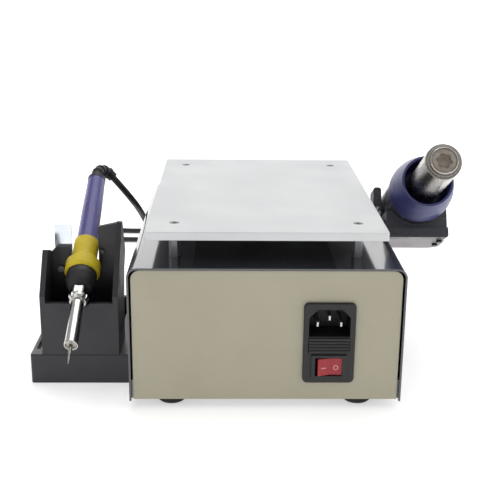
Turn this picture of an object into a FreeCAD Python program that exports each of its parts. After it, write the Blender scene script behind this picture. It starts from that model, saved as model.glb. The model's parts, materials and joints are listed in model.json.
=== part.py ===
import FreeCAD, Part
import math
import os

import Sketcher
from FreeCAD import Placement, Rotation, Vector

# Bench rework station: a mains-powered housing with a heated plate on top, a hot air gun
# in a cradle on its right side and a soldering iron in a stand on its left side.
#
# Everything is laid out in the station's own frame, in millimetres: X runs across the rear
# panel, Y runs from the rear panel's outer face to the front panel, Z is up from the table.
# Every finished sub-part is then moved so that the origin is the middle of the footprint.

doc = FreeCAD.newDocument("ReworkStation")
sheet = doc.addObject("Spreadsheet::Sheet", "Sizes")

DRIVING = (
    # housing
    ("panel_width", 159.8, "rear and front panel, across"),
    ("panel_height", 82.1, "rear and front panel, up"),
    ("panel_sheet", 1.5, "thickness of the two panels"),
    ("panel_corner", 5.5, "radius of a panel's top corners"),
    ("housing_depth", 212, "from outer face to outer face of the panels"),
    ("foot_height", 6.5, "table to the floor of the tray"),
    ("foot_radius", 9, "rubber foot at its widest"),
    ("foot_pitch_across", 115, "feet, across"),
    ("foot_inset", 15, "feet in from a panel's outer face"),
    ("tray_sheet", 1.2, "thickness of the tray"),
    ("tray_flange", 12, "height of the tray's turned up sides"),
    ("cover_sheet", 1.2, "thickness of the wrap-round cover"),
    ("cover_gap", 1.2, "between a panel's edge and the cover"),
    ("cover_overhang", 1, "cover past each panel's outer face"),
    ("cover_corner", 6, "outer radius of the cover's bends"),
    ("cover_hem", 1, "cover's lower edge below the tray"),
    ("vent_length", 26, "one vent slot, up"),
    ("vent_width", 3, "one vent slot, along"),
    ("vent_pitch", 7, "between vent slots"),
    ("vent_count", 9, "slots in one side"),
    # heated plate
    ("plate_width", 142, "heated plate, across"),
    ("plate_depth", 206, "heated plate, front to back"),
    ("plate_thick", 5, "heated plate"),
    ("plate_corner", 1.5, "radius of the plate's corners"),
    ("plate_gap", 15.8, "cover to the plate's underside"),
    ("plate_screw_across", 110.4, "plate screws, across"),
    ("plate_screw_along", 164.6, "plate screws, front to back"),
    ("screw_head", 3, "radius of a countersunk head"),
    ("screw_shank", 1.45, "radius of a screw's shank"),
    ("screw_hole", 1.7, "radius of a clearance hole"),
    ("standoff_flats", 6, "hexagon across flats"),
    ("heater_thick", 2.4, "heating mat under the plate"),
    # appliance inlet with fuse drawer and rocker
    ("inlet_across", 37.5, "inlet's middle from the housing's middle"),
    ("inlet_up", 43.6, "inlet's middle above the table"),
    ("inlet_width", 31, "inlet flange, across"),
    ("inlet_height", 51, "inlet flange, up"),
    ("inlet_proud", 2, "inlet flange, thickness"),
    ("inlet_body", 27, "inlet body, across"),
    ("inlet_body_height", 47, "inlet body, up"),
    ("inlet_depth", 32, "inlet body behind the panel"),
    ("socket_width", 24.6, "appliance recess, across"),
    ("socket_height", 17, "appliance recess, up"),
    ("socket_depth", 16, "appliance recess, deep"),
    ("pin_pitch", 7, "line and neutral pins from the middle"),
    ("drawer_width", 24.4, "fuse drawer, across"),
    ("drawer_height", 9.4, "fuse drawer, up"),
    ("drawer_clear", 0.2, "fuse drawer to its slot"),
    ("bezel_width", 21, "rocker bezel, across"),
    ("bezel_height", 15, "rocker bezel, up"),
    ("rocker_width", 14.8, "rocker, across"),
    ("rocker_height", 10.8, "rocker, up"),
    ("rocker_tilt", 8, "rocker each side of level, degrees"),
    # front panel
    ("control_up", 42, "row of knobs above the table"),
    ("control_pitch", 36, "between knobs"),
    ("knob_radius", 8.2, "control knob"),
    ("knob_height", 14, "control knob"),
    ("shaft_radius", 3, "control shaft"),
    ("shaft_clear", 0.05, "shaft to its bush"),
    ("lower_row_up", 19, "sockets and rockers above the table"),
    ("connector_across", -50, "iron's connector from the middle"),
    ("gland_across", 62, "gun's cable gland from the middle"),
    # hot air gun and its cradle
    ("gun_rim_along", 62.6, "guard's rim in front of the rear panel"),
    ("gun_rim_up", 128.3, "guard's rim above the table"),
    ("gun_slope", 28, "gun's axis above level, degrees"),
    ("barrel_radius", 11, "hot tube"),
    ("barrel_wall", 0.8, "wall of the hot tube"),
    ("barrel_reach", 47, "hot tube's end past the guard's rim"),
    ("guard_rim", 16.5, "radius of the guard's rim"),
    ("guard_length", 27, "guard, along the axis"),
    ("handle_radius", 19, "gun's handle where it lies in the cradle"),
    ("handle_end", 145, "handle's end behind the guard's rim"),
    ("air_slot_length", 18, "air slot in the handle, along it"),
    ("air_slot_width", 1.6, "air slot in the handle"),
    ("air_slot_pitch", 3.8, "between air slots"),
    ("air_slot_count", 5, "air slots in each half of the handle"),
    ("cradle_side", 1.1, "cradle beside the trough"),
    ("cradle_gap", 1.2, "cradle to the housing's cover"),
    ("cradle_lip", 6.8, "height of the cradle's front lip"),
    ("cradle_lip_back", 6, "front lip behind the cradle's upper end"),
    ("cradle_length", 39.8, "cradle, along the gun"),
    ("cradle_start", 37.4, "cradle's upper end behind the guard's rim"),
    ("cradle_under", 8.1, "cradle under the trough"),
    ("cradle_clear", 0.4, "handle to the trough"),
    ("bracket_sheet", 1.5, "cradle bracket"),
    ("bracket_short", 3, "bracket short of the cradle's lower end"),
    # iron stand
    ("stand_gap", 2.7, "stand to the housing's cover"),
    ("stand_width", 64, "stand base, across"),
    ("stand_along", 36.5, "stand's rear face in front of the rear panel"),
    ("stand_depth", 112, "stand base, front to back"),
    ("stand_height", 19.6, "stand base, up"),
    ("base_wall", 2.5, "walls of the stand base where it is hollow"),
    ("tower_width", 49, "tower, across"),
    ("tower_wall", 3.4, "tower walls"),
    # soldering iron
    ("iron_shift", 0.5, "iron's axis from the stand's middle"),
    ("tip_along", -10.5, "iron's tip in front of the rear panel"),
    ("tip_up", 34.2, "iron's tip above the table"),
    ("iron_slope", 27.47, "iron's axis above level, degrees"),
    ("sleeve_radius", 4.15, "steel sleeve over the bit"),
    ("sleeve_start", 13.8, "sleeve from the tip"),
    ("sleeve_end", 48.5, "sleeve's end from the tip"),
    ("nut_end", 60, "nut's end from the tip"),
    ("collar_end", 72.5, "black collar's end from the tip"),
    ("flange_end", 84.1, "grip flange's end from the tip"),
    ("grip_end", 102.3, "grip's end from the tip"),
    ("iron_end", 164, "handle's end from the tip"),
    ("grip_flange", 11.3, "radius of the grip's flange"),
    ("grip_radius", 8.1, "radius of the grip"),
    ("iron_radius", 6.8, "radius of the iron's handle"),
    ("cord_radius", 2.4, "iron's cord"),
    ("relief_radius", 3.7, "cord's strain relief"),
    ("relief_bend", 12, "radius of the strain relief's bend"),
    ("relief_reach", 21.2, "handle's end to the corner of the strain relief's bend"),
    ("relief_ribs", 5, "ribs round the strain relief"),
)

for row, (alias, value, meaning) in enumerate(DRIVING, 1):
    sheet.set(f"A{row}", meaning)
    sheet.set(f"B{row}", str(value))
    sheet.setAlias(f"B{row}", alias)
doc.recompute()


class Dim(float):
    """A number that also holds the sheet expression it is worked out by."""

    def __new__(cls, value, text):
        self = super().__new__(cls, value)
        self.text = text
        return self

    def __add__(self, other):
        return Dim(float(self) + float(other), f"({self.text} + {text_of(other)})")

    def __radd__(self, other):
        return Dim(float(other) + float(self), f"({text_of(other)} + {self.text})")

    def __sub__(self, other):
        return Dim(float(self) - float(other), f"({self.text} - {text_of(other)})")

    def __rsub__(self, other):
        return Dim(float(other) - float(self), f"({text_of(other)} - {self.text})")

    def __mul__(self, other):
        return Dim(float(self) * float(other), f"({self.text} * {text_of(other)})")

    __rmul__ = __mul__

    def __truediv__(self, other):
        return Dim(float(self) / float(other), f"({self.text} / {text_of(other)})")

    def __neg__(self):
        return Dim(-float(self), f"(0 - {self.text})")


def text_of(value):
    return value.text if isinstance(value, Dim) else repr(float(value))


def size(alias):
    return Dim(sheet.get(alias), "Sizes." + alias)


def sine(angle):
    return Dim(math.sin(math.radians(angle)), f"sin({text_of(angle)} * 1 deg)")


def cosine(angle):
    return Dim(math.cos(math.radians(angle)), f"cos({text_of(angle)} * 1 deg)")


def bind(obj, prop, value):
    """Set a property, and tie it to the sheet if its value comes from there."""
    if isinstance(value, Dim):
        obj.setExpression(prop, value.text)


# ---------------------------------------------------------------- sketches and features

def origin_feature(body, role):
    return next(f for f in body.Origin.OriginFeatures if f.Role == role)


def new_body(name):
    body = doc.addObject("PartDesign::Body", name)
    body.Label = name
    body.AllowCompound = True
    return body


def sketch_on(body, role, height=0.0, across=0.0, up=0.0):
    """A sketch on one of the body's own planes, moved along its normal and in its plane."""
    sketch = body.newObject("Sketcher::SketchObject", body.Name + "_sketch")
    sketch.AttachmentSupport = [(origin_feature(body, role), "")]
    sketch.MapMode = "FlatFace"
    sketch.AttachmentOffset = Placement(Vector(across, up, height), Rotation())
    bind(sketch, "AttachmentOffset.Base.x", across)
    bind(sketch, "AttachmentOffset.Base.y", up)
    bind(sketch, "AttachmentOffset.Base.z", height)
    return sketch


def hold_value(sketch, constraint, value):
    index = sketch.addConstraint(constraint)
    if isinstance(value, Dim):
        sketch.setExpression(f"Constraints[{index}]", value.text)


def hold_point(sketch, geometry, end, x, y):
    """Dimension one point of the sketch from its origin."""
    for kind, axis, value in (("DistanceX", -2, x), ("DistanceY", -1, y)):
        if isinstance(value, Dim) or value != 0:
            rule = Sketcher.Constraint(kind, -1, 1, geometry, end, float(value))
            hold_value(sketch, rule, value)
        else:
            sketch.addConstraint(Sketcher.Constraint("PointOnObject", geometry, end, axis))


def outline(sketch, points):
    """A closed outline of straight lines through the points."""
    first = sketch.GeometryCount
    count = len(points)
    for i, start in enumerate(points):
        end = points[(i + 1) % count]
        line = Part.LineSegment(Vector(start[0], start[1], 0), Vector(end[0], end[1], 0))
        sketch.addGeometry(line, False)
    for i, point in enumerate(points):
        following = first + (i + 1) % count
        sketch.addConstraint(Sketcher.Constraint("Coincident", first + i, 2, following, 1))
        hold_point(sketch, first + i, 1, *point)


def circle(sketch, x, y, radius):
    shape = Part.Circle(Vector(x, y, 0), Vector(0, 0, 1), float(radius))
    index = sketch.addGeometry(shape, False)
    hold_point(sketch, index, 3, x, y)
    hold_value(sketch, Sketcher.Constraint("Radius", index, float(radius)), radius)


def rectangle(sketch, left, low, right, high):
    outline(sketch, [(left, low), (right, low), (right, high), (left, high)])


def centred_rectangle(sketch, x, y, width, height):
    rectangle(sketch, x - width / 2, y - height / 2, x + width / 2, y + height / 2)


def polygon_points(count, radius, start=0.0):
    """The corners of a regular polygon."""
    step = 360.0 / count
    return [(radius * math.cos(math.radians(start + i * step)),
             radius * math.sin(math.radians(start + i * step))) for i in range(count)]


def add_pad(body, sketch, length, back=False):
    pad = body.newObject("PartDesign::Pad", body.Name + "_pad")
    pad.Profile = sketch
    pad.Length = float(length)
    bind(pad, "Length", length)
    pad.Reversed = back
    body.Tip = pad
    return pad


def add_pocket(body, sketch, length, back=False):
    pocket = body.newObject("PartDesign::Pocket", body.Name + "_pocket")
    pocket.Profile = sketch
    pocket.Length = float(length)
    bind(pocket, "Length", length)
    pocket.Reversed = back
    body.Tip = pocket
    return pocket


def add_turned(body, sketch, angle=360.0, back=False):
    turned = body.newObject("PartDesign::Revolution", body.Name + "_turned")
    turned.Profile = sketch
    turned.ReferenceAxis = (sketch, ["V_Axis"])
    turned.Angle = angle
    turned.Reversed = back
    body.Tip = turned
    return turned


def add_groove(body, sketch):
    groove = body.newObject("PartDesign::Groove", body.Name + "_groove")
    groove.Profile = sketch
    groove.ReferenceAxis = (sketch, ["V_Axis"])
    groove.Angle = 360.0
    body.Tip = groove
    return groove


def repeat_round(body, features, count):
    """Repeat features evenly about the body's Z axis."""
    pattern = body.newObject("PartDesign::PolarPattern", body.Name + "_ring")
    pattern.Originals = features
    pattern.Axis = (origin_feature(body, "Z_Axis"), [""])
    pattern.Angle = 360
    pattern.Occurrences = int(count)
    bind(pattern, "Occurrences", count)
    body.Tip = pattern
    return pattern


def repeat_along(body, features, role, length, count):
    """Repeat features over a length along one of the body's axes."""
    pattern = body.newObject("PartDesign::LinearPattern", body.Name + "_row")
    pattern.Originals = features
    pattern.Direction = (origin_feature(body, role), [""])
    pattern.Length = float(length)
    bind(pattern, "Length", length)
    pattern.Occurrences = int(count)
    bind(pattern, "Occurrences", count)
    body.Tip = pattern
    return pattern


def repeat_four(body, features, across, along):
    """Repeat features at the four corners of a rectangle, from its low corner."""
    grid = body.newObject("PartDesign::MultiTransform", body.Name + "_grid")
    grid.Originals = features
    steps = []
    for role, length in (("X_Axis", across), ("Y_Axis", along)):
        step = body.newObject("PartDesign::LinearPattern", body.Name + "_step")
        step.Direction = (origin_feature(body, role), [""])
        step.Length = float(length)
        bind(step, "Length", length)
        step.Occurrences = 2
        steps.append(step)
    grid.Transformations = steps
    body.Tip = grid
    return grid


def edges_where(shape, wanted):
    return [f"Edge{i}" for i, edge in enumerate(shape.Edges, 1) if wanted(edge)]


def is_parallel(edge, direction):
    if not isinstance(edge.Curve, Part.Line):
        return False
    return edge.Curve.Direction.cross(direction).Length < 1e-6


def round_edges(body, wanted, radius, kind="Fillet"):
    """Fillet or chamfer the edges of the body's latest feature that pass a test."""
    doc.recompute()
    base = body.Tip
    names = edges_where(base.Shape, wanted)
    feature = body.newObject("PartDesign::" + kind, body.Name + "_" + kind.lower())
    feature.Base = (base, names)
    prop = "Radius" if kind == "Fillet" else "Size"
    setattr(feature, prop, float(radius))
    bind(feature, prop, radius)
    body.Tip = feature
    return feature


def upright_at(limit_z):
    """Edges that run along Y and lie above a height: the top corners of a panel."""
    def wanted(edge):
        return is_parallel(edge, Vector(0, 1, 0)) and edge.BoundBox.ZMin > limit_z
    return wanted


def along_z(edge):
    return is_parallel(edge, Vector(0, 0, 1))


# ---------------------------------------------------------------- placing sub-parts

tip_along = size("tip_along")
front_face = size("housing_depth")
knob_front = front_face + 0.6 + size("knob_height")

panel_half = size("panel_width") / 2
cover_inner = panel_half + size("cover_gap")
cover_outer = cover_inner + size("cover_sheet")
handle = size("handle_radius")
cradle_half = handle + size("cradle_clear") + size("cradle_side")
gun_across = cover_outer + size("cradle_gap") + cradle_half
stand_across = cover_outer + size("stand_gap") + size("stand_width") / 2
iron_across = stand_across - size("iron_shift")
footprint_left = -(stand_across + size("stand_width") / 2)
footprint_right = gun_across + cradle_half
middle_x = (footprint_left + footprint_right) / 2
middle_y = (tip_along + knob_front) / 2

ALONG_X = Vector(1, 0, 0)
FACING_FRONT = Rotation(ALONG_X, -90)
gun_turn = 90 - size("gun_slope")
iron_turn = size("iron_slope") - 90

NODES = []


def finish(obj, x=0.0, y=0.0, z=0.0, turn=None, angle=0.0):
    """Put a finished sub-part in its place and list it as a node."""
    base = (x - middle_x, y - middle_y, z)
    rotation = Rotation(turn, float(angle)) if turn is not None else Rotation()
    obj.Placement = Placement(Vector(*base), rotation)
    for axis, value in zip("xyz", base):
        bind(obj, "Placement.Base." + axis, value)
    bind(obj, "Placement.Rotation.Angle", angle)
    NODES.append(obj)
    return obj


def finish_front(obj, x, z):
    """A sub-part drawn about +Z, set on the front panel and facing the user."""
    return finish(obj, x, front_face, z, ALONG_X, -90)


def finish_gun(obj):
    """A sub-part drawn about the gun's axis, +Z to the nozzle, from the guard's rim."""
    return finish(obj, gun_across, size("gun_rim_along"), size("gun_rim_up"),
                  ALONG_X, gun_turn)


def finish_iron(obj):
    """A sub-part drawn about the iron's axis, +Z from the tip to the cord."""
    return finish(obj, -iron_across, tip_along, size("tip_up"), ALONG_X, iron_turn)


# ---------------------------------------------------------------- housing

panel_low = size("foot_height")
panel_top = panel_low + size("panel_height")
cover_under = panel_top + 0.4
cover_top = cover_under + size("cover_sheet")
tray_top = panel_low + size("tray_sheet")


def panel(name, outer_y, openings):
    """A flat panel with rounded top corners; its outer face is at outer_y + its thickness."""
    body = new_body(name)
    sketch = sketch_on(body, "XZ_Plane", -outer_y)
    rectangle(sketch, -panel_half, panel_low, panel_half, panel_top)
    openings(sketch)
    add_pad(body, sketch, size("panel_sheet"))
    round_edges(body, upright_at(panel_top - 1), size("panel_corner"))
    return finish(body)


def rear_openings(sketch):
    centred_rectangle(sketch, size("inlet_across"), size("inlet_up"),
                      size("inlet_body") + 0.4, size("inlet_body_height") + 0.4)


knob_places = [size("control_pitch") * step for step in (-1.5, -0.5, 0.5, 1.5)]
rocker_places = [-14.0, 12.0, 38.0]
window_low = size("control_up") + 18
window_high = panel_top - 9


def front_openings(sketch):
    for x in knob_places:
        circle(sketch, x, size("control_up"), size("shaft_radius") + 0.6)
    for x in rocker_places:
        centred_rectangle(sketch, x, size("lower_row_up"), size("bezel_width") - 2,
                          size("bezel_height") - 2)
    circle(sketch, size("connector_across"), size("lower_row_up"), 8.0)
    circle(sketch, size("gland_across"), size("lower_row_up"), 6.2)
    rectangle(sketch, -58, window_low, 58, window_high)


def base_tray():
    body = new_body("base_tray")
    half = cover_inner - 0.05
    wall = size("tray_sheet")
    sketch = sketch_on(body, "XZ_Plane", -size("housing_depth") + size("panel_sheet"))
    low = panel_low
    outline(sketch, [(-half, low), (half, low), (half, low + size("tray_flange")),
                     (half - wall, low + size("tray_flange")), (half - wall, tray_top),
                     (wall - half, tray_top), (wall - half, low + size("tray_flange")),
                     (-half, low + size("tray_flange"))])
    add_pad(body, sketch, size("housing_depth") - size("panel_sheet") * 2)
    holes = sketch_on(body, "XY_Plane", tray_top)
    circle(holes, -size("foot_pitch_across") / 2, size("foot_inset"), size("screw_hole"))
    pocket = add_pocket(body, holes, size("tray_sheet") * 2)
    repeat_four(body, [pocket], size("foot_pitch_across"),
                size("housing_depth") - size("foot_inset") * 2)
    return finish(body)


def wrap_cover():
    body = new_body("wrap_cover")
    sketch = sketch_on(body, "XZ_Plane", size("cover_overhang"))
    low = panel_low - size("cover_hem")
    outline(sketch, [(-cover_outer, low), (-cover_inner, low), (-cover_inner, cover_under),
                     (cover_inner, cover_under), (cover_inner, low), (cover_outer, low),
                     (cover_outer, cover_top), (-cover_outer, cover_top)])
    add_pad(body, sketch, size("housing_depth") + size("cover_overhang") * 2, back=True)
    round_edges(body, upright_at(cover_top - 0.1), size("cover_corner"))
    round_edges(body, lambda e: is_parallel(e, Vector(0, 1, 0))
                and cover_under - 0.1 < e.BoundBox.ZMin < cover_under + 0.1
                and abs(abs(e.BoundBox.XMin) - cover_inner) < 0.1,
                size("cover_corner") - size("cover_sheet"))
    run = size("vent_pitch") * (size("vent_count") - 1)
    vents = sketch_on(body, "YZ_Plane", cover_outer + 1)
    first = size("housing_depth") / 2 - run / 2
    centred_rectangle(vents, first, panel_low + size("panel_height") / 2,
                      size("vent_width"), size("vent_length"))
    slot = add_pocket(body, vents, cover_outer * 2 + 2)
    repeat_along(body, [slot], "Y_Axis", run, size("vent_count"))
    posts = sketch_on(body, "XY_Plane", cover_top)
    circle(posts, -size("plate_screw_across") / 2, plate_middle - size("plate_screw_along") / 2,
           size("screw_hole"))
    hole = add_pocket(body, posts, size("cover_sheet") * 2)
    repeat_four(body, [hole], size("plate_screw_across"), size("plate_screw_along"))
    lead = sketch_on(body, "XY_Plane", cover_top)
    circle(lead, 0, lead_along, 6.0)
    add_pocket(body, lead, size("cover_sheet") * 2)
    return finish(body)


def rubber_feet():
    body = new_body("rubber_feet")
    radius = size("foot_radius")
    profile = sketch_on(body, "XZ_Plane", -size("foot_inset"), -size("foot_pitch_across") / 2)
    outline(profile, [(size("screw_hole"), 3.2), (3.6, 3.2), (3.6, 0.0), (radius - 1.2, 0.0),
                      (radius, 1.2), (radius - 0.6, panel_low), (size("screw_hole"), panel_low)])
    foot = add_turned(body, profile)
    repeat_four(body, [foot], size("foot_pitch_across"),
                size("housing_depth") - size("foot_inset") * 2)
    return finish(body)


def foot_screws():
    body = new_body("foot_screws")
    shank = size("screw_shank")
    profile = sketch_on(body, "XZ_Plane", -size("foot_inset"), -size("foot_pitch_across") / 2)
    outline(profile, [(0.0, 1.2), (2.4, 1.2), (3.0, 1.8), (3.0, 3.2), (shank, 3.2),
                      (shank, tray_top + 3), (0.0, tray_top + 3)])
    screw = add_turned(body, profile)
    repeat_four(body, [screw], size("foot_pitch_across"),
                size("housing_depth") - size("foot_inset") * 2)
    return finish(body)


def cover_screws():
    body = new_body("cover_screws")
    for start in (-cover_outer - 1.7, cover_outer):
        sketch = sketch_on(body, "YZ_Plane", start)
        circle(sketch, 30.0, panel_low + 7, 2.8)
        circle(sketch, size("housing_depth") - 30, panel_low + 7, 2.8)
        add_pad(body, sketch, 1.7)
    return finish(body)


# ---------------------------------------------------------------- heated plate

plate_middle = size("housing_depth") / 2
plate_under = cover_top + size("plate_gap")
plate_top = plate_under + size("plate_thick")
lead_along = plate_middle + 40


def hot_plate():
    body = new_body("hot_plate")
    sketch = sketch_on(body, "XY_Plane", plate_under)
    centred_rectangle(sketch, 0, plate_middle, size("plate_width"), size("plate_depth"))
    add_pad(body, sketch, size("plate_thick"))
    round_edges(body, along_z, size("plate_corner"))
    sink = sketch_on(body, "XZ_Plane", size("plate_screw_along") / 2 - plate_middle,
                     -size("plate_screw_across") / 2)
    hole = size("screw_hole")
    head = size("screw_head") + 0.15
    outline(sink, [(0.0, plate_under - 1), (hole, plate_under - 1),
                   (hole, plate_top - head + hole), (head, plate_top), (head, plate_top + 1),
                   (0.0, plate_top + 1)])
    cut = add_groove(body, sink)
    repeat_four(body, [cut], size("plate_screw_across"), size("plate_screw_along"))
    return finish(body)


def plate_screws():
    body = new_body("plate_screws")
    shank = size("screw_shank")
    head = size("screw_head")
    face = plate_top - 0.1
    profile = sketch_on(body, "XZ_Plane", size("plate_screw_along") / 2 - plate_middle,
                        -size("plate_screw_across") / 2)
    outline(profile, [(0.0, face - 12), (shank, face - 12), (shank, face - head + shank),
                      (head, face), (0.0, face)])
    screw = add_turned(body, profile)
    doc.recompute()
    slots = []
    for width, depth in ((3.2, 0.7), (0.7, 3.2)):
        slot = sketch_on(body, "XY_Plane", face)
        centred_rectangle(slot, -size("plate_screw_across") / 2,
                          plate_middle - size("plate_screw_along") / 2, width, depth)
        slots.append(add_pocket(body, slot, 1.0))
    repeat_four(body, [screw] + slots, size("plate_screw_across"), size("plate_screw_along"))
    return finish(body)


def plate_standoffs():
    body = new_body("plate_standoffs")
    corner = size("standoff_flats") / 2 / cosine(30)
    x = -size("plate_screw_across") / 2
    y = plate_middle - size("plate_screw_along") / 2
    hexagon = sketch_on(body, "XY_Plane", cover_top)
    outline(hexagon, [(x + corner * c, y + corner * s) for c, s in polygon_points(6, 1.0)])
    post = add_pad(body, hexagon, size("plate_gap"))
    bore = sketch_on(body, "XY_Plane", plate_under)
    circle(bore, x, y, size("screw_shank") + 0.05)
    drilled = add_pocket(body, bore, 10.0)
    stud = sketch_on(body, "XY_Plane", cover_top)
    circle(stud, x, y, size("screw_hole") - 0.2)
    tail = add_pad(body, stud, 4.0, back=True)
    repeat_four(body, [post, drilled, tail], size("plate_screw_across"),
                size("plate_screw_along"))
    return finish(body)


def plate_heater():
    body = new_body("plate_heater")
    sketch = sketch_on(body, "XY_Plane", plate_under)
    centred_rectangle(sketch, 0, plate_middle, size("plate_screw_across") - 20,
                      size("plate_screw_along") + 10)
    add_pad(body, sketch, size("heater_thick"), back=True)
    leads = sketch_on(body, "XY_Plane", plate_under - size("heater_thick"))
    for x in (-2.0, 2.0):
        circle(leads, x, lead_along, 1.2)
    add_pad(body, leads, plate_under - size("heater_thick") - cover_top + 12, back=True)
    return finish(body)


def cable_grommet():
    body = new_body("cable_grommet")
    profile = sketch_on(body, "XZ_Plane", -lead_along)
    low = cover_under
    outline(profile, [(4.2, low - 1.5), (8.0, low - 1.5), (8.0, low), (5.9, low),
                      (5.9, cover_top), (8.0, cover_top), (8.0, cover_top + 1.5),
                      (4.2, cover_top + 1.5)])
    add_turned(body, profile)
    return finish(body)


# ---------------------------------------------------------------- appliance inlet

inlet_x = size("inlet_across")
inlet_z = size("inlet_up")
inlet_top = inlet_z + size("inlet_height") / 2
recess_top = inlet_top - 4
recess_low = recess_top - size("socket_height")
drawer_top = recess_low - 0.7
drawer_low = drawer_top - size("drawer_height") - size("drawer_clear") * 2
bezel_z = drawer_low - 1.1 - size("bezel_height") / 2
bezel_neck_inset = 1.3
well_width = size("rocker_width") + 1.4
well_height = size("rocker_height") + 0.8
pivot_in = 2.0
drawer_length = 24.0


def inlet_housing():
    body = new_body("inlet_housing")
    proud = size("inlet_proud")
    flange = sketch_on(body, "XZ_Plane")
    centred_rectangle(flange, inlet_x, inlet_z, size("inlet_width"), size("inlet_height"))
    add_pad(body, flange, proud)
    round_edges(body, lambda e: is_parallel(e, Vector(0, 1, 0)), 3.0)
    round_edges(body, lambda e: e.BoundBox.YMax < 0.01 - proud, 0.5, "Chamfer")
    rear = sketch_on(body, "XZ_Plane")
    centred_rectangle(rear, inlet_x, inlet_z, size("inlet_body"), size("inlet_body_height"))
    add_pad(body, rear, size("inlet_depth"), back=True)
    half = size("socket_width") / 2
    corner = 5.0
    recess = sketch_on(body, "XZ_Plane", proud)
    outline(recess, [(inlet_x - half, recess_low), (inlet_x + half, recess_low),
                     (inlet_x + half, recess_top - corner), (inlet_x + half - corner, recess_top),
                     (inlet_x - half + corner, recess_top), (inlet_x - half, recess_top - corner)])
    add_pocket(body, recess, size("socket_depth") + proud)
    slot = sketch_on(body, "XZ_Plane", proud)
    half = size("drawer_width") / 2 + size("drawer_clear")
    rectangle(slot, inlet_x - half, drawer_low, inlet_x + half, drawer_top)
    add_pocket(body, slot, drawer_length + proud + 1)
    well = sketch_on(body, "XZ_Plane", proud)
    centred_rectangle(well, inlet_x, bezel_z, well_width, well_height)
    add_pocket(body, well, 18.0)
    return finish(body)


def inlet_pins():
    body = new_body("inlet_pins")
    middle = recess_low + size("socket_height") / 2
    pins = sketch_on(body, "XZ_Plane", -size("socket_depth"))
    for x, z in ((-size("pin_pitch"), middle - 1.6), (0.0, middle + 2.4),
                 (size("pin_pitch"), middle - 1.6)):
        centred_rectangle(pins, inlet_x + x, z, 2.0, 4.0)
    add_pad(body, pins, size("socket_depth") - 0.5)
    return finish(body)


def fuse_drawer():
    body = new_body("fuse_drawer")
    half = size("drawer_width") / 2
    low = drawer_low + size("drawer_clear")
    high = drawer_top - size("drawer_clear")
    face = size("inlet_proud") + 0.8
    box = sketch_on(body, "XZ_Plane", face)
    rectangle(box, inlet_x - half, low, inlet_x + half, high)
    add_pad(body, box, drawer_length + face, back=True)
    groove = sketch_on(body, "XZ_Plane", face)
    rectangle(groove, inlet_x - half, low + 1.4, inlet_x + half, low + 2.2)
    cut = add_pocket(body, groove, 0.6)
    repeat_along(body, [cut], "Z_Axis", size("drawer_height") - 3.6, 4)
    bay = sketch_on(body, "XY_Plane", high)
    rectangle(bay, inlet_x - 10.6, 6.5, inlet_x + 10.6, 12.5)
    add_pocket(body, bay, size("drawer_height") - 1.6)
    return finish(body)


def fuse():
    body = new_body("fuse")
    glass = sketch_on(body, "YZ_Plane", inlet_x - 10)
    circle(glass, 9.5, drawer_low + size("drawer_clear") + 4.2, 2.4)
    add_pad(body, glass, 20.0)
    for start in (inlet_x - 10, inlet_x + 4.5):
        cap = sketch_on(body, "YZ_Plane", start)
        circle(cap, 9.5, drawer_low + size("drawer_clear") + 4.2, 2.6)
        add_pad(body, cap, 5.5)
    return finish(body)


def bezel_sketch(body, x, z, plane_offset, inset=0.0):
    """A rectangular frame round a rocker's well, its outer edge in by `inset` all round."""
    frame = sketch_on(body, "XZ_Plane", plane_offset)
    centred_rectangle(frame, x, z, size("bezel_width") - inset * 2,
                      size("bezel_height") - inset * 2)
    centred_rectangle(frame, x, z, well_width, well_height)
    return frame


def mains_bezel():
    body = new_body("mains_bezel")
    add_pad(body, bezel_sketch(body, inlet_x, bezel_z, size("inlet_proud")), 1.3)
    return finish(body)


def rocker(name):
    """A rocker about its own Z axis, its face towards -Y, drawn level."""
    body = new_body(name)
    half = size("rocker_width") / 2
    sketch = sketch_on(body, "XY_Plane", -size("rocker_height") / 2)
    outline(sketch, [(-half, -5.6), (0.0, -4.4), (half, -5.6), (half - 0.6, 1.5), (3.0, 5.0),
                     (-3.0, 5.0), (0.6 - half, 1.5)])
    add_pad(body, sketch, size("rocker_height"))
    return body


def mains_rocker():
    body = rocker("mains_rocker")
    return finish(body, inlet_x, pivot_in, bezel_z, Vector(0, 0, 1), size("rocker_tilt"))


# ---------------------------------------------------------------- front panel controls

def knob(name, x):
    body = new_body(name)
    radius = size("knob_radius")
    top = size("knob_height") + 0.6
    shaft = size("shaft_radius")
    profile = sketch_on(body, "XZ_Plane")
    outline(profile, [(0.0, -14.0), (shaft, -14.0), (shaft, 4.0), (5.6, 4.0), (5.6, 0.6),
                      (radius, 0.6), (radius, 2.4), (radius - 1.2, 3.0), (radius - 2, top - 1),
                      (radius - 3, top), (0.0, top)])
    add_turned(body, profile)
    doc.recompute()
    flute = sketch_on(body, "XY_Plane", top)
    outline(flute, [(radius - 2.3, 0.0), (radius + 0.4, -1.3), (radius + 0.4, 1.3)])
    cut = add_pocket(body, flute, size("knob_height") - 3)
    repeat_round(body, [cut], 12)
    mark = sketch_on(body, "XY_Plane", top)
    rectangle(mark, -0.5, 1.0, 0.5, radius - 2.6)
    add_pocket(body, mark, 0.5)
    return finish_front(body, x, size("control_up"))


def potentiometers():
    body = new_body("potentiometers")
    bore = size("shaft_radius") + size("shaft_clear")
    for x in knob_places:
        profile = sketch_on(body, "XZ_Plane", 0.0, x)
        outline(profile, [(0.0, -18.0), (8.0, -18.0), (8.0, -7.0), (3.5, -7.0), (3.5, 3.0),
                          (bore, 3.0), (bore, -14.5), (0.0, -14.5)])
        add_turned(body, profile)
    return finish_front(body, 0.0, size("control_up"))


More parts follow.
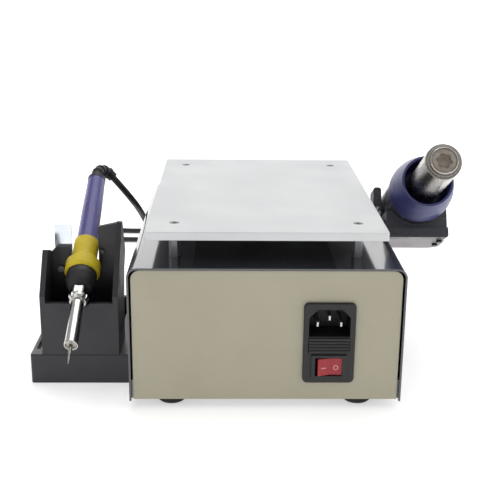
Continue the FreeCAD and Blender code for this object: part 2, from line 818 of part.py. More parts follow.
def display_window():
    body = new_body("display_window")
    sketch = sketch_on(body, "XZ_Plane", -front_face + size("panel_sheet"))
    rectangle(sketch, -57.8, window_low + 0.2, 57.8, window_high - 0.2)
    add_pad(body, sketch, size("panel_sheet") + 0.4, back=True)
    board = sketch_on(body, "XZ_Plane", -front_face + size("panel_sheet"))
    rectangle(board, -62.0, window_low - 3, 62.0, window_high + 3)
    add_pad(body, board, 4.0)
    return finish(body)


def rocker_bezels():
    body = new_body("rocker_bezels")
    up = size("lower_row_up")
    for x in rocker_places:
        add_pad(body, bezel_sketch(body, x, up, -front_face), 1.3, back=True)
        add_pad(body, bezel_sketch(body, x, up, -front_face, bezel_neck_inset), 12.0)
    return finish(body)


def function_rocker(name, x):
    body = rocker(name)
    flip = size("rocker_tilt") + 180
    return finish(body, x, front_face - 3.0, size("lower_row_up"), Vector(0, 0, 1), flip)


def iron_socket():
    body = new_body("iron_socket")
    profile = sketch_on(body, "XZ_Plane")
    outline(profile, [(0.0, -10.0), (7.7, -10.0), (7.7, 0.0), (9.5, 0.0), (9.5, 2.0),
                      (7.6, 2.0), (7.6, 9.0), (6.6, 9.0), (6.6, -6.0), (0.0, -6.0)])
    add_turned(body, profile)
    return finish_front(body, size("connector_across"), size("lower_row_up"))


def iron_plug():
    body = new_body("iron_plug")
    profile = sketch_on(body, "XZ_Plane")
    outline(profile, [(0.0, -5.0), (6.3, -5.0), (6.3, 10.0), (8.0, 10.0), (8.0, 2.6),
                      (9.4, 2.6), (9.4, 16.0), (8.4, 17.0), (7.6, 17.0), (7.2, 34.0),
                      (0.0, 34.0)])
    add_turned(body, profile)
    doc.recompute()
    flute = sketch_on(body, "XY_Plane", 15.0)
    outline(flute, [(8.7, 0.0), (9.8, -0.9), (9.8, 0.9)])
    cut = add_pocket(body, flute, 11.0)
    repeat_round(body, [cut], 16)
    return finish_front(body, size("connector_across"), size("lower_row_up"))


def plug_boot():
    body = new_body("plug_boot")
    end = size("cord_radius") + 1.1
    profile = sketch_on(body, "XZ_Plane")
    outline(profile, [(0.0, 34.0), (6.4, 34.0), (end + 0.8, 44.0), (end, plug_reach),
                      (0.0, plug_reach)])
    add_turned(body, profile)
    return finish_front(body, size("connector_across"), size("lower_row_up"))


def gun_gland():
    body = new_body("gun_gland")
    profile = sketch_on(body, "XZ_Plane")
    outline(profile, [(3.9, -8.0), (6.0, -8.0), (6.0, 0.0), (9.0, 0.0), (9.0, 4.0),
                      (7.0, 5.0), (6.2, 10.0), (3.9, 10.0)])
    add_turned(body, profile)
    return finish_front(body, size("gland_across"), size("lower_row_up"))


# ---------------------------------------------------------------- inside the housing

def transformer():
    body = new_body("transformer")
    core = sketch_on(body, "XY_Plane", tray_top)
    centred_rectangle(core, -30.0, plate_middle - 30, 66.0, 34.0)
    add_pad(body, core, 56.0)
    coil = sketch_on(body, "XY_Plane", tray_top + 11)
    centred_rectangle(coil, -30.0, plate_middle - 30, 42.0, 54.0)
    add_pad(body, coil, 34.0)
    return finish(body)


def main_board():
    body = new_body("main_board")
    board = sketch_on(body, "XY_Plane", tray_top + 6)
    rectangle(board, -70.0, plate_middle + 15, 66.0, size("housing_depth") - 32)
    add_pad(body, board, 1.6)
    posts = sketch_on(body, "XY_Plane", tray_top)
    for x in (-64.0, 60.0):
        for y in (plate_middle + 21, size("housing_depth") - 38):
            circle(posts, x, y, 3.0)
    add_pad(body, posts, 6.0)
    sink = sketch_on(body, "XY_Plane", tray_top + 7.6)
    for step in range(6):
        left = 10.0 + step * 6
        rectangle(sink, left, plate_middle + 22, left + 2, plate_middle + 46)
    add_pad(body, sink, 22.0)
    capacitors = sketch_on(body, "XY_Plane", tray_top + 7.6)
    for x in (-52.0, -32.0, -12.0):
        circle(capacitors, x, plate_middle + 32, 7.0)
    add_pad(body, capacitors, 25.0)
    return finish(body)


# ---------------------------------------------------------------- hot air gun

barrel = size("barrel_radius")
barrel_wall = size("barrel_wall")
barrel_neck = barrel - 0.7
reach = size("barrel_reach")
rim = size("guard_rim")
guard_back = -size("guard_length")
handle_back = -size("handle_end")
shell = 2.2


def gun_barrel():
    body = new_body("gun_barrel")
    profile = sketch_on(body, "XZ_Plane")
    outline(profile, [(barrel_neck - barrel_wall, -60.0), (barrel_neck, -60.0),
                      (barrel_neck, 0.5), (barrel, 0.5), (barrel, reach - 3.6),
                      (barrel - barrel_wall, reach - 3.6), (barrel - barrel_wall, 0.0),
                      (barrel_neck - barrel_wall, -0.7)])
    add_turned(body, profile)
    return finish_gun(body)


def gun_end_ring():
    body = new_body("gun_end_ring")
    profile = sketch_on(body, "XZ_Plane")
    flush = barrel - 0.05
    outline(profile, [(8.6, reach - 3.5), (flush - 0.3, reach - 3.5), (flush, reach - 3.2),
                      (flush, reach - 0.6), (flush - 0.5, reach), (9.6, reach),
                      (9.6, reach - 1.2), (8.6, reach - 1.2)])
    add_turned(body, profile)
    return finish_gun(body)


def gun_core():
    body = new_body("gun_core")
    disc = sketch_on(body, "XY_Plane", reach - 2)
    circle(disc, 0.0, 0.0, 8.5)
    add_pad(body, disc, 60.0, back=True)
    mouth = sketch_on(body, "XY_Plane", reach - 2)
    circle(mouth, 0.0, 0.0, 4.4)
    add_pocket(body, mouth, 30.0)
    doc.recompute()
    lobe = sketch_on(body, "XY_Plane", reach - 2)
    circle(lobe, 4.3, 0.0, 1.35)
    cut = add_pocket(body, lobe, 30.0)
    repeat_round(body, [cut], 7)
    return finish_gun(body)


def gun_guard():
    body = new_body("gun_guard")
    back = guard_back
    seat = barrel_neck + 0.1
    profile = sketch_on(body, "XZ_Plane")
    outline(profile, [(seat, back), (handle + 1.6, back), (handle + 1.7, back + 4),
                      (handle + 1, back + 12), (rim + 1.6, -6.0), (rim, 0.0), (rim - 1.4, 0.0),
                      (rim - 1.6, -5.0), (rim - 1.2, back + 6), (rim - 3, back + 3),
                      (seat, back + 3)])
    add_turned(body, profile)
    return finish_gun(body)


def handle_half(name, side):
    """One half of the handle's shell; the two halves meet in the gun's upright plane."""
    body = new_body(name)
    top = guard_back - 0.1
    profile = sketch_on(body, "YZ_Plane")
    outline(profile, [(handle + 1, top), (handle, top - 8), (handle, -82.0), (handle - 2, -104.0),
                      (handle - 4, handle_back + 6), (handle - 6, handle_back),
                      (handle - 6 - shell, handle_back), (handle - 4 - shell, handle_back + 7),
                      (handle - 2 - shell, -104.0), (handle - shell, -82.0),
                      (handle - shell, top - 8), (handle + 1 - shell, top)])
    add_turned(body, profile, 180.0, back=side > 0)
    doc.recompute()
    slot = sketch_on(body, "YZ_Plane", side * handle)
    pitch = size("air_slot_pitch")
    across = pitch * (size("air_slot_count") - 1)
    centred_rectangle(slot, -across / 2, -117.0, size("air_slot_width"), size("air_slot_length"))
    cut = add_pocket(body, slot, handle - 4, back=side < 0)
    repeat_along(body, [cut], "Y_Axis", across, size("air_slot_count"))
    return finish_gun(body)


def gun_fan():
    body = new_body("gun_fan")
    hub = sketch_on(body, "XY_Plane", -120.0)
    circle(hub, 0.0, 0.0, 5.0)
    add_pad(body, hub, 16.0)
    doc.recompute()
    blade = sketch_on(body, "XY_Plane", -118.0)
    outline(blade, [(3.5, -0.6), (12.5, 1.4), (12.5, 2.6), (3.5, 0.6)])
    vane = add_pad(body, blade, 12.0)
    repeat_round(body, [vane], 9)
    return finish_gun(body)


def gun_end_cap():
    body = new_body("gun_end_cap")
    lip = handle - 6
    profile = sketch_on(body, "XZ_Plane")
    outline(profile, [(3.5, handle_back - 0.1), (lip, handle_back - 0.1), (lip - 0.6, handle_back - 4),
                      (lip - 3, handle_back - 6), (3.5, handle_back - 7)])
    add_turned(body, profile)
    return finish_gun(body)


# ---------------------------------------------------------------- gun cradle

cradle_up = -size("cradle_start")
cradle_down = cradle_up - size("cradle_length")
cradle_floor = -(handle + size("cradle_clear") + size("cradle_under"))
lip_back = cradle_up - size("cradle_lip_back")
bracket_low = cradle_down + size("bracket_short")


def cradle_body():
    body = new_body("cradle_body")
    slab = sketch_on(body, "XY_Plane", cradle_down)
    outline(slab, [(-cradle_half, cradle_floor), (cradle_half, cradle_floor),
                   (cradle_half, cradle_floor + 5), (cradle_half - 0.6, cradle_floor + 6),
                   (cradle_half - 0.6, cradle_floor + 18), (-cradle_half, cradle_floor + 17)])
    add_pad(body, slab, size("cradle_length"))
    lip = sketch_on(body, "XY_Plane", lip_back)
    lip_low = cradle_floor - size("bracket_sheet")
    rectangle(lip, -cradle_half, lip_low, cradle_half, lip_low + size("cradle_lip"))
    add_pad(body, lip, cradle_up + 1 - lip_back)
    ear = sketch_on(body, "XY_Plane", cradle_down)
    outline(ear, [(-cradle_half, cradle_floor + 8), (4 - cradle_half, cradle_floor + 8),
                  (4 - cradle_half, 12.2), (-cradle_half - 4.5, 12.2), (-cradle_half - 4.5, -1.0),
                  (-cradle_half, -2.0)])
    add_pad(body, ear, 14.0)
    clear = handle + size("cradle_clear")
    trough = sketch_on(body, "XY_Plane", cradle_up + 1)
    circle(trough, 0.0, 0.0, clear)
    add_pocket(body, trough, size("cradle_length") + 2)
    mouth = sketch_on(body, "XY_Plane", cradle_up + 1)
    rectangle(mouth, -clear, 0.0, clear, 30.0)
    add_pocket(body, mouth, size("cradle_length") + 2)
    round_edges(body, lambda e: is_parallel(e, Vector(0, 0, 1)) and e.BoundBox.YMin > 12.1, 2.0)
    round_edges(body, lambda e: is_parallel(e, Vector(0, 0, 1))
                and e.BoundBox.YMax < lip_low + 0.1, 1.8)
    return finish_gun(body)


def cradle_bracket():
    body = new_body("cradle_bracket")
    sheet_thick = size("bracket_sheet")
    foot = cover_outer + 0.05 - gun_across
    profile = sketch_on(body, "XY_Plane", bracket_low)
    outline(profile, [(foot, cradle_floor - 22), (foot + sheet_thick, cradle_floor - 22),
                      (foot + sheet_thick, cradle_floor - sheet_thick),
                      (cradle_half, cradle_floor - sheet_thick), (cradle_half, cradle_floor),
                      (foot, cradle_floor)])
    add_pad(body, profile, lip_back - 0.1 - bracket_low)
    round_edges(body, lambda e: is_parallel(e, Vector(0, 1, 0)) and e.BoundBox.XMax > 20, 8.0)
    return finish_gun(body)


def cradle_screws():
    body = new_body("cradle_screws")
    heads = sketch_on(body, "XZ_Plane", size("bracket_sheet") - cradle_floor)
    for x, z in ((cradle_half - 4.2, cradle_up - 9.5), (cradle_half - 4.8, cradle_up - 21)):
        circle(heads, x, z, 1.9)
    add_pad(body, heads, 1.5)
    return finish_gun(body)


def bracket_screws():
    body = new_body("bracket_screws")
    start = cover_outer + 0.05 + size("bracket_sheet") - gun_across
    heads = sketch_on(body, "YZ_Plane", start)
    for z in (lip_back - 5, bracket_low + 6):
        circle(heads, cradle_floor - 12, z, 2.6)
    add_pad(body, heads, 1.7)
    return finish_gun(body)


# ---------------------------------------------------------------- iron stand

stand_left = footprint_left
stand_right = stand_left + size("stand_width")
stand_back = size("stand_along")
stand_top = size("stand_height")
tower_left = stand_left + 8
tower_right = tower_left + size("tower_width")
wall = size("tower_wall")
rest_along = stand_back + 34.5


def axis_height(along):
    """Height of the iron's axis above the table at a place along Y."""
    slope = size("iron_slope")
    return size("tip_up") + (along - tip_along) * sine(slope) / cosine(slope)


axis_at_rest = axis_height(rest_along + wall / 2)


def stand_base():
    body = new_body("stand_base")
    block = sketch_on(body, "XY_Plane")
    rectangle(block, stand_left, stand_back, stand_right, stand_back + size("stand_depth"))
    add_pad(body, block, stand_top)
    round_edges(body, along_z, 2.0)
    round_edges(body, lambda e: e.BoundBox.ZMin > stand_top - 0.1, 0.8)
    hollow = sketch_on(body, "XY_Plane")
    shell_wall = size("base_wall")
    rectangle(hollow, stand_left + shell_wall, stand_back + shell_wall,
              stand_right - shell_wall, stand_back + 58 - shell_wall)
    add_pocket(body, hollow, stand_top - shell_wall, back=True)
    slot = sketch_on(body, "XY_Plane", stand_top)
    rectangle(slot, stand_left + 2.5, stand_back + 9, stand_left + 5, stand_back + 38)
    add_pocket(body, slot, 8.0)
    well = sketch_on(body, "XY_Plane", stand_top)
    rectangle(well, stand_left + 4, stand_back + 58, stand_right - 10,
              stand_back + size("stand_depth") - 4)
    add_pocket(body, well, stand_top - 5)
    return finish(body)


def side_wall(body, start, points):
    sketch = sketch_on(body, "YZ_Plane", start)
    outline(sketch, [(stand_back + y, z) for y, z in points])
    return add_pad(body, sketch, wall)


def stand_tower():
    body = new_body("stand_tower")
    side_wall(body, tower_left, [(0.0, stand_top), (0.0, 59.0), (18.5, 84.0), (30.0, 80.0),
                                 (63.5, 55.0), (50.0, 45.0), (36.0, stand_top)])
    side_wall(body, tower_right - wall, [(0.0, stand_top), (0.0, 59.0), (34.5, 98.0),
                                         (37.9, 98.0), (50.5, 74.0), (41.5, 65.0), (36.0, 47.0),
                                         (33.0, stand_top)])
    rear = sketch_on(body, "XZ_Plane", -stand_back)
    rectangle(rear, tower_left + 0.01, stand_top, tower_right - 0.01, 54.3)
    add_pad(body, rear, wall, back=True)
    x = -iron_across
    dip = sketch_on(body, "XZ_Plane", -stand_back + 1)
    circle(dip, x, axis_height(stand_back + wall / 2), 8.4)
    add_pocket(body, dip, wall + 2)
    rest = sketch_on(body, "XZ_Plane", -rest_along)
    half = size("grip_radius") + 0.7
    low = axis_at_rest - half - 2.2
    outline(rest, [(tower_left + 1, 40.0), (tower_right - 1, 40.0), (tower_right - 1, 97.9),
                   (x + half, 94.5), (x + half, low + 4),
                   (x + half - 4, low), (x - half + 4, low), (x - half, low + 4),
                   (x - half, 81.0), (tower_left + 6, 81.0), (tower_left + 1, 76.0)])
    add_pad(body, rest, wall, back=True)
    round_edges(body, lambda e: is_parallel(e, ALONG_X) and e.BoundBox.ZMin > 54.6
                and abs(e.BoundBox.XLength - wall) < 0.01, 1.6)
    return finish(body)


def rest_plate():
    body = new_body("rest_plate")
    x = -iron_across
    half = size("grip_radius") + 0.7
    low = axis_at_rest - half - 2.2
    sketch = sketch_on(body, "XZ_Plane", -(rest_along + wall))
    outline(sketch, [(tower_left + wall + 1, 58.0), (tower_right - wall - 1, 58.0),
                     (tower_right - wall - 1, 84.0), (x + half, 84.0), (x + half, low),
                     (x - half, low), (x - half, 95.0), (tower_left + wall + 1, 95.0)])
    add_pad(body, sketch, 0.8, back=True)
    return finish(body)


def rest_screws():
    body = new_body("rest_screws")
    heads = sketch_on(body, "XZ_Plane", -rest_along)
    circle(heads, -iron_across - 16, 66.3, 2.2)
    circle(heads, -iron_across + 10.9, 78.2, 1.6)
    add_pad(body, heads, 2.0)
    return finish(body)


def sponge():
    body = new_body("sponge")
    sketch = sketch_on(body, "XY_Plane", 5.0)
    rectangle(sketch, stand_left + 6, stand_back + 60, stand_right - 12,
              stand_back + size("stand_depth") - 6)
    add_pad(body, sketch, 10.0)
    return finish(body)


# ---------------------------------------------------------------- soldering iron

sleeve = size("sleeve_radius")
sleeve_start = size("sleeve_start")
sleeve_end = size("sleeve_end")
nut_end = size("nut_end")
collar_end = size("collar_end")
flange_end = size("flange_end")
grip_end = size("grip_end")
iron_end = size("iron_end")
grip = size("grip_radius")
slim = size("iron_radius")


def turned_iron_part(name, points):
    body = new_body(name)
    profile = sketch_on(body, "XZ_Plane")
    outline(profile, points)
    add_turned(body, profile)
    return body


def iron_tip():
    return finish_iron(turned_iron_part("iron_tip", [
        (0.0, 0.0), (0.4, 0.6), (1.1, sleeve_start - 3), (1.3, sleeve_start + 0.4),
        (sleeve - 0.8, sleeve_start + 1), (sleeve - 0.8, sleeve_end - 4),
        (0.0, sleeve_end - 4)]))


def iron_barrel():
    return finish_iron(turned_iron_part("iron_barrel", [
        (sleeve - 0.7, sleeve_start + 1), (sleeve - 0.5, sleeve_start), (sleeve, sleeve_start),
        (sleeve + 0.15, sleeve_start + 0.6), (sleeve + 0.15, sleeve_start + 1.8),
        (sleeve, sleeve_start + 2.2), (sleeve, sleeve_end + 4), (sleeve - 0.7, sleeve_end + 4)]))


def iron_nut():
    body = turned_iron_part("iron_nut", [
        (sleeve + 0.05, sleeve_end), (5.2, sleeve_end), (6.3, sleeve_end + 2),
        (6.3, sleeve_end + 4), (5.6, sleeve_end + 5), (5.6, nut_end), (sleeve + 0.05, nut_end)])
    doc.recompute()
    notch = sketch_on(body, "XY_Plane", sleeve_end + 4.4)
    outline(notch, [(5.5, 0.0), (6.6, -0.8), (6.6, 0.8)])
    cut = add_pocket(body, notch, 4.5)
    repeat_round(body, [cut], 12)
    flats = sketch_on(body, "XY_Plane", nut_end + 0.1)
    circle(flats, 0.0, 0.0, 7.0)
    outline(flats, polygon_points(6, 5.9))
    add_pocket(body, flats, nut_end - sleeve_end - 5)
    return finish_iron(body)


def iron_collar():
    return finish_iron(turned_iron_part("iron_collar", [
        (0.0, nut_end + 0.05), (7.2, nut_end + 0.05), (8.8, nut_end + 3), (9.9, nut_end + 8),
        (9.6, collar_end), (0.0, collar_end)]))


def iron_grip():
    flange = size("grip_flange")
    return finish_iron(turned_iron_part("iron_grip", [
        (0.0, collar_end + 0.05), (flange - 1.2, collar_end + 0.05), (flange, collar_end + 1.6),
        (flange, flange_end - 3), (grip + 0.8, flange_end), (grip, flange_end + 1.5),
        (grip, grip_end - 1), (grip - 1, grip_end), (0.0, grip_end)]))


def iron_handle():
    return finish_iron(turned_iron_part("iron_handle", [
        (0.0, grip_end + 0.05), (slim, grip_end + 0.05), (slim - 0.2, iron_end - 30),
        (slim - 0.8, iron_end), (0.0, iron_end)]))


def iron_direction():
    """Unit vector along the iron, from its tip to its cord."""
    slope = math.radians(size("iron_slope"))
    return Vector(0, math.cos(slope), math.sin(slope))


def along_iron(distance):
    tip = Vector(-iron_across, tip_along, size("tip_up"))
    return tip + iron_direction() * float(distance)


# The cord's route in the station's frame. It falls from the strain relief past the
# housing's front left corner, lies on the table in one long loop and rises to its plug.
cord_lie = float(size("cord_radius")) + 0.1
plug_reach = 50.0
ROUTE = (
    (-93.7, 161.4, 90.2),
    (-89.8, 213.5, 61.5),
    (-83.0, 237.0, 34.0),
    (-80.0, 257.0, 13.0),
    (-77.0, 283.0, cord_lie),
    (-71.0, 316.0, cord_lie),
    (-83.0, 343.0, cord_lie),
    (-112.0, 353.0, cord_lie),
    (-143.0, 348.5, cord_lie),
    (-159.5, 352.0, cord_lie),
    (-167.0, 366.0, cord_lie),
    (-159.5, 380.5, cord_lie),
    (-143.0, 384.5, cord_lie),
    (-112.0, 380.3, cord_lie),
    (-72.0, 384.0, cord_lie),
    (-28.0, 387.0, cord_lie),
    (17.0, 384.0, cord_lie),
    (55.0, 372.0, cord_lie),
    (76.0, 348.0, cord_lie),
    (65.0, 322.0, cord_lie),
    (34.0, 311.0, cord_lie),
    (3.0, 313.0, cord_lie),
    (-22.0, 317.0, cord_lie),
    (-40.0, 310.0, 4.5),
    (-48.0, 296.0, 12.0),
)


def relief_path():
    """Corner and end of the strain relief, which turns towards the cord's first point."""
    start = along_iron(iron_end)
    towards = Vector(*ROUTE[0])
    bend = float(size("relief_bend"))
    corner = start + iron_direction() * float(size("relief_reach"))
    leaving = (towards - corner).normalize()
    turn = iron_direction().getAngle(leaving)
    tangent = bend * math.tan(turn / 2)
    return start, corner, corner + leaving * tangent, tangent


def rounded_path(points, radius_at):
    """Straight runs joined by tangent arcs, as one wire."""
    edges = []
    last = points[0]
    for i in range(1, len(points) - 1):
        before = (points[i - 1] - points[i]).normalize()
        after = (points[i + 1] - points[i]).normalize()
        half_turn = (math.pi - before.getAngle(after)) / 2
        tangent = radius_at(i) * math.tan(half_turn)
        start = points[i] + before * tangent
        end = points[i] + after * tangent
        inward = (before + after).normalize()
        middle = points[i] + inward * (tangent / math.sin(half_turn) - radius_at(i))
        if (start - last).Length > 1e-4:
            edges.append(Part.LineSegment(last, start).toShape())
        edges.append(Part.Arc(start, middle, end).toShape())
        last = end
    edges.append(Part.LineSegment(last, points[-1]).toShape())
    return Part.Wire(edges)


def tube(path, radius):
    start = path.Edges[0]
    origin = start.valueAt(start.FirstParameter)
    heading = start.tangentAt(start.FirstParameter)
    section = Part.Wire([Part.Circle(origin, heading, float(radius)).toShape()])
    return path.makePipeShell([section], True, False)


def iron_relief():
    """A moulded boot: a flange on the handle's end, then a bent sleeve round the cord."""
    start, corner, end, tangent = relief_path()
    bend = float(size("relief_bend"))
    path = rounded_path([start, corner, end + (end - corner).normalize() * 0.5],
                        lambda i: bend)
    sleeve_shape = tube(path, size("relief_radius"))
    flange = Part.makeCylinder(float(slim) - 0.6, 2.4, start, iron_direction())
    rings = []
    marks = path.discretize(Number=int(size("relief_ribs")) * 2 + 3)
    for before, here, after in list(zip(marks, marks[1:], marks[2:]))[1::2]:
        heading = (after - before).normalize()
        rings.append(Part.makeCylinder(float(size("relief_radius")) + 0.6, 1.3,
                                       here - heading * 0.65, heading))
    feature = doc.addObject("Part::Feature", "iron_relief")
    feature.Label = "iron_relief"
    feature.Shape = sleeve_shape.multiFuse([flange] + rings).removeSplitter()
    return finish(feature)


def cord_points():
    start, corner, end, tangent = relief_path()
    exit_point = end + (end - corner).normalize() * 0.5
    plug = Vector(size("connector_across"), front_face + plug_reach, size("lower_row_up"))
    return [exit_point] + [Vector(*p) for p in ROUTE] + [plug + Vector(0, 18, 0), plug]


def iron_cord():
    points = cord_points()
    runs = [(b - a).Length for a, b in zip(points, points[1:])]
    radii = {}
    for i in range(1, len(points) - 1):
        before = points[i - 1] - points[i]
        after = points[i + 1] - points[i]
        half_turn = (math.pi - before.getAngle(after)) / 2
        radii[i] = 0.45 * min(runs[i - 1], runs[i]) / math.tan(half_turn)
    path = rounded_path(points, radii.get)
    feature = doc.addObject("Part::Feature", "iron_cord")
    feature.Label = "iron_cord"
    feature.Shape = tube(path, size("cord_radius"))
    ratio = feature.Shape.Volume / (math.pi * float(size("cord_radius")) ** 2 * path.Length)
    print("cord length", round(path.Length, 1), "volume ratio", round(ratio, 4))
    print("cord radii", [round(r, 1) for r in radii.values()])
    return finish(feature)


# ---------------------------------------------------------------- build

def build_housing():
    base_tray()
    panel("rear_panel", size("panel_sheet"), rear_openings)
    panel("front_panel", size("housing_depth"), front_openings)
    wrap_cover()
    cover_screws()
    rubber_feet()
    foot_screws()
    transformer()
    main_board()


def build_plate():
    hot_plate()
    plate_screws()
    plate_standoffs()
    plate_heater()
    cable_grommet()


def build_inlet():
    inlet_housing()
    inlet_pins()
    fuse_drawer()
    fuse()
    mains_bezel()
    mains_rocker()


def build_front():
    names = ("knob_plate_heat", "knob_air_heat", "knob_air_flow", "knob_iron_heat")
    for name, x in zip(names, knob_places):
        knob(name, x)
    potentiometers()
    display_window()
    rocker_bezels()
    for name, x in zip(("rocker_plate", "rocker_air", "rocker_iron"), rocker_places):
        function_rocker(name, x)
    iron_socket()
    iron_plug()
    plug_boot()
    gun_gland()


def build_gun():
    gun_barrel()
    gun_end_ring()
    gun_core()
    gun_guard()
    handle_half("handle_left", -1)
    handle_half("handle_right", 1)
    gun_fan()
    gun_end_cap()
    cradle_bracket()
    cradle_body()
    cradle_screws()
    bracket_screws()


def build_stand():
    stand_base()
    stand_tower()
    rest_plate()
    rest_screws()
    sponge()


def build_iron():
    iron_tip()
    iron_barrel()
    iron_nut()
    iron_collar()
    iron_grip()
    iron_handle()
    iron_relief()
    iron_cord()


def check_and_write():
    doc.recompute()
    faults = [o.Name for o in doc.Objects if "Invalid" in o.State or "Error" in o.State]
    for node in NODES:
        if node.Shape.isNull() or not node.Shape.isValid() or not node.Shape.Solids:
            faults.append(node.Label)
    if faults:
        raise RuntimeError("these did not build: " + ", ".join(faults))
    os.makedirs("parts", exist_ok=True)
    for node in NODES:
        node.Shape.exportStep(os.path.join("parts", node.Label + ".step"))


build_housing()
build_plate()
build_inlet()
build_front()
build_gun()
build_stand()
build_iron()
check_and_write()
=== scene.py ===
import json
import math
import random

import bmesh
import bpy
from mathutils import Matrix, Vector


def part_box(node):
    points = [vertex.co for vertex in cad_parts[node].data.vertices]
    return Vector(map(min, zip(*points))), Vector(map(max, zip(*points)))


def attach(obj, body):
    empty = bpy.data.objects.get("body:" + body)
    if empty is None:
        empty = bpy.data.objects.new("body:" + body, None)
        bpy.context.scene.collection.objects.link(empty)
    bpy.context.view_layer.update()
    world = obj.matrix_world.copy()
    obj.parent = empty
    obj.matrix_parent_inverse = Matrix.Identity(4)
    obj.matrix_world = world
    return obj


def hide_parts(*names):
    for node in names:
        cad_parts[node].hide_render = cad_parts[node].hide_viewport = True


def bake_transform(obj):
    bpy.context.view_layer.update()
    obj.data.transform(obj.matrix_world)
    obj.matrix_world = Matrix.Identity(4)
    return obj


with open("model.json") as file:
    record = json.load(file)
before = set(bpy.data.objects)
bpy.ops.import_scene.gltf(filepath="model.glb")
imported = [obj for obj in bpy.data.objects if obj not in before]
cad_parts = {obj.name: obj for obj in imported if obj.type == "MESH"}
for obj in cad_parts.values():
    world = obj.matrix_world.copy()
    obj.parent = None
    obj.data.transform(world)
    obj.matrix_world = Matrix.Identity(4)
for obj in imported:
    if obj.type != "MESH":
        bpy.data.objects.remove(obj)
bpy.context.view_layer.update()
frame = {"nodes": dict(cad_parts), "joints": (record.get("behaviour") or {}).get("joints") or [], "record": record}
NODES = frame["nodes"]
JOINTS = {joint["name"]: joint for joint in frame["joints"]}
MM = 0.001


# ---------------------------------------------------------------- places taken from the frame

def middle(node):
    """The centre of a CAD node's box."""
    low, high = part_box(node)
    return (low + high) / 2


PANEL_LOW, PANEL_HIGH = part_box("rear_panel")
HOME = Vector((middle("rear_panel").x, PANEL_LOW.y, 0))  # middle of the rear panel, on the bench
FRONT_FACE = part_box("front_panel")[1].y
GUN_AXIS = Vector(JOINTS["gun_fan_spin"]["axis"]).normalized()
GUN_POINT = Vector(JOINTS["gun_fan_spin"]["pos_m"])


def at(x, y, z):
    """A point given in millimetres from the foot of the rear panel's middle."""
    return HOME + Vector((x, y, z)) * MM


# ---------------------------------------------------------------- camera, light and floor

CAMERA_PLACE = (-23.2, -520.6, 262.9)
CAMERA_YAW = 0.024768
CAMERA_PITCH = 0.300856
CAMERA_ROLL = 0.011311
CAMERA_LENS = 67.886


def add_camera():
    """The viewing angle: slightly above the housing, square to its rear panel."""
    yaw, pitch, roll = CAMERA_YAW, CAMERA_PITCH, CAMERA_ROLL
    ahead = Vector((math.sin(yaw) * math.cos(pitch), math.cos(yaw) * math.cos(pitch), -math.sin(pitch)))
    level = Vector((math.cos(yaw), -math.sin(yaw), 0))
    over = level.cross(ahead)
    right = math.cos(roll) * level + math.sin(roll) * over
    up = math.cos(roll) * over - math.sin(roll) * level
    data = bpy.data.cameras.new("camera")
    data.lens = CAMERA_LENS
    data.sensor_width = 36
    camera = bpy.data.objects.new("camera", data)
    turn = Matrix((right, up, -ahead)).transposed().to_4x4()
    camera.matrix_world = Matrix.Translation(at(*CAMERA_PLACE)) @ turn
    bpy.context.scene.collection.objects.link(camera)
    bpy.context.scene.camera = camera


def add_softbox(name, place, target, width, height, power):
    """A rectangular studio light."""
    data = bpy.data.lights.new(name, "AREA")
    data.shape = "RECTANGLE"
    data.size = width
    data.size_y = height
    data.energy = power
    light = bpy.data.objects.new(name, data)
    light.location = place
    light.rotation_euler = (Vector(target) - Vector(place)).to_track_quat("-Z", "Y").to_euler()
    bpy.context.scene.collection.objects.link(light)


SKY_STRENGTH = 0.55
FLOOR_REACH = 14.0
FLOOR_DROP = 0.0002
FLOOR_GLOW = 0.5
BACKDROP = (9.0, 7.0, 5.0)  # half its width, its distance, its height
HORIZON = (48, 12.0, 1.0)  # its facets, its radius, its height
SOFTBOX_TARGET = (0, 0, 0.05)
SOFTBOXES = (  # name, place, width, height, power
    ("key_light", (-0.9, -1.3, 1.5), 1.2, 1.0, 2.5),
    ("side_light", (1.5, -0.5, 0.9), 0.8, 1.2, 4),
    ("top_light", (0.1, 0.6, 1.8), 1.6, 1.2, 12),
)


def add_sky():
    """An even sky, a little paler overhead than at the horizon."""
    world = bpy.data.worlds.new("studio")
    world.use_nodes = True
    nodes, links = world.node_tree.nodes, world.node_tree.links
    sky = nodes["Background"]
    sky.inputs["Strength"].default_value = SKY_STRENGTH
    place = nodes.new("ShaderNodeTexCoord")
    split = nodes.new("ShaderNodeSeparateXYZ")
    ramp = nodes.new("ShaderNodeValToRGB")
    level, overhead = ramp.color_ramp.elements
    level.color = (0.6, 0.6, 0.61, 1)
    overhead.color = (1.0, 1.0, 1.0, 1)
    links.new(place.outputs["Generated"], split.inputs[0])
    links.new(split.outputs["Z"], ramp.inputs[0])
    links.new(ramp.outputs[0], sky.inputs["Color"])
    bpy.context.scene.world = world


def room_surface(name, points, faces, finish):
    """A plain surface of the room."""
    mesh = bpy.data.meshes.new(name)
    mesh.from_pydata(points, [], faces)
    surface = bpy.data.objects.new(name, mesh)
    bpy.context.scene.collection.objects.link(surface)
    surface.data.materials.append(finish.material)
    return surface


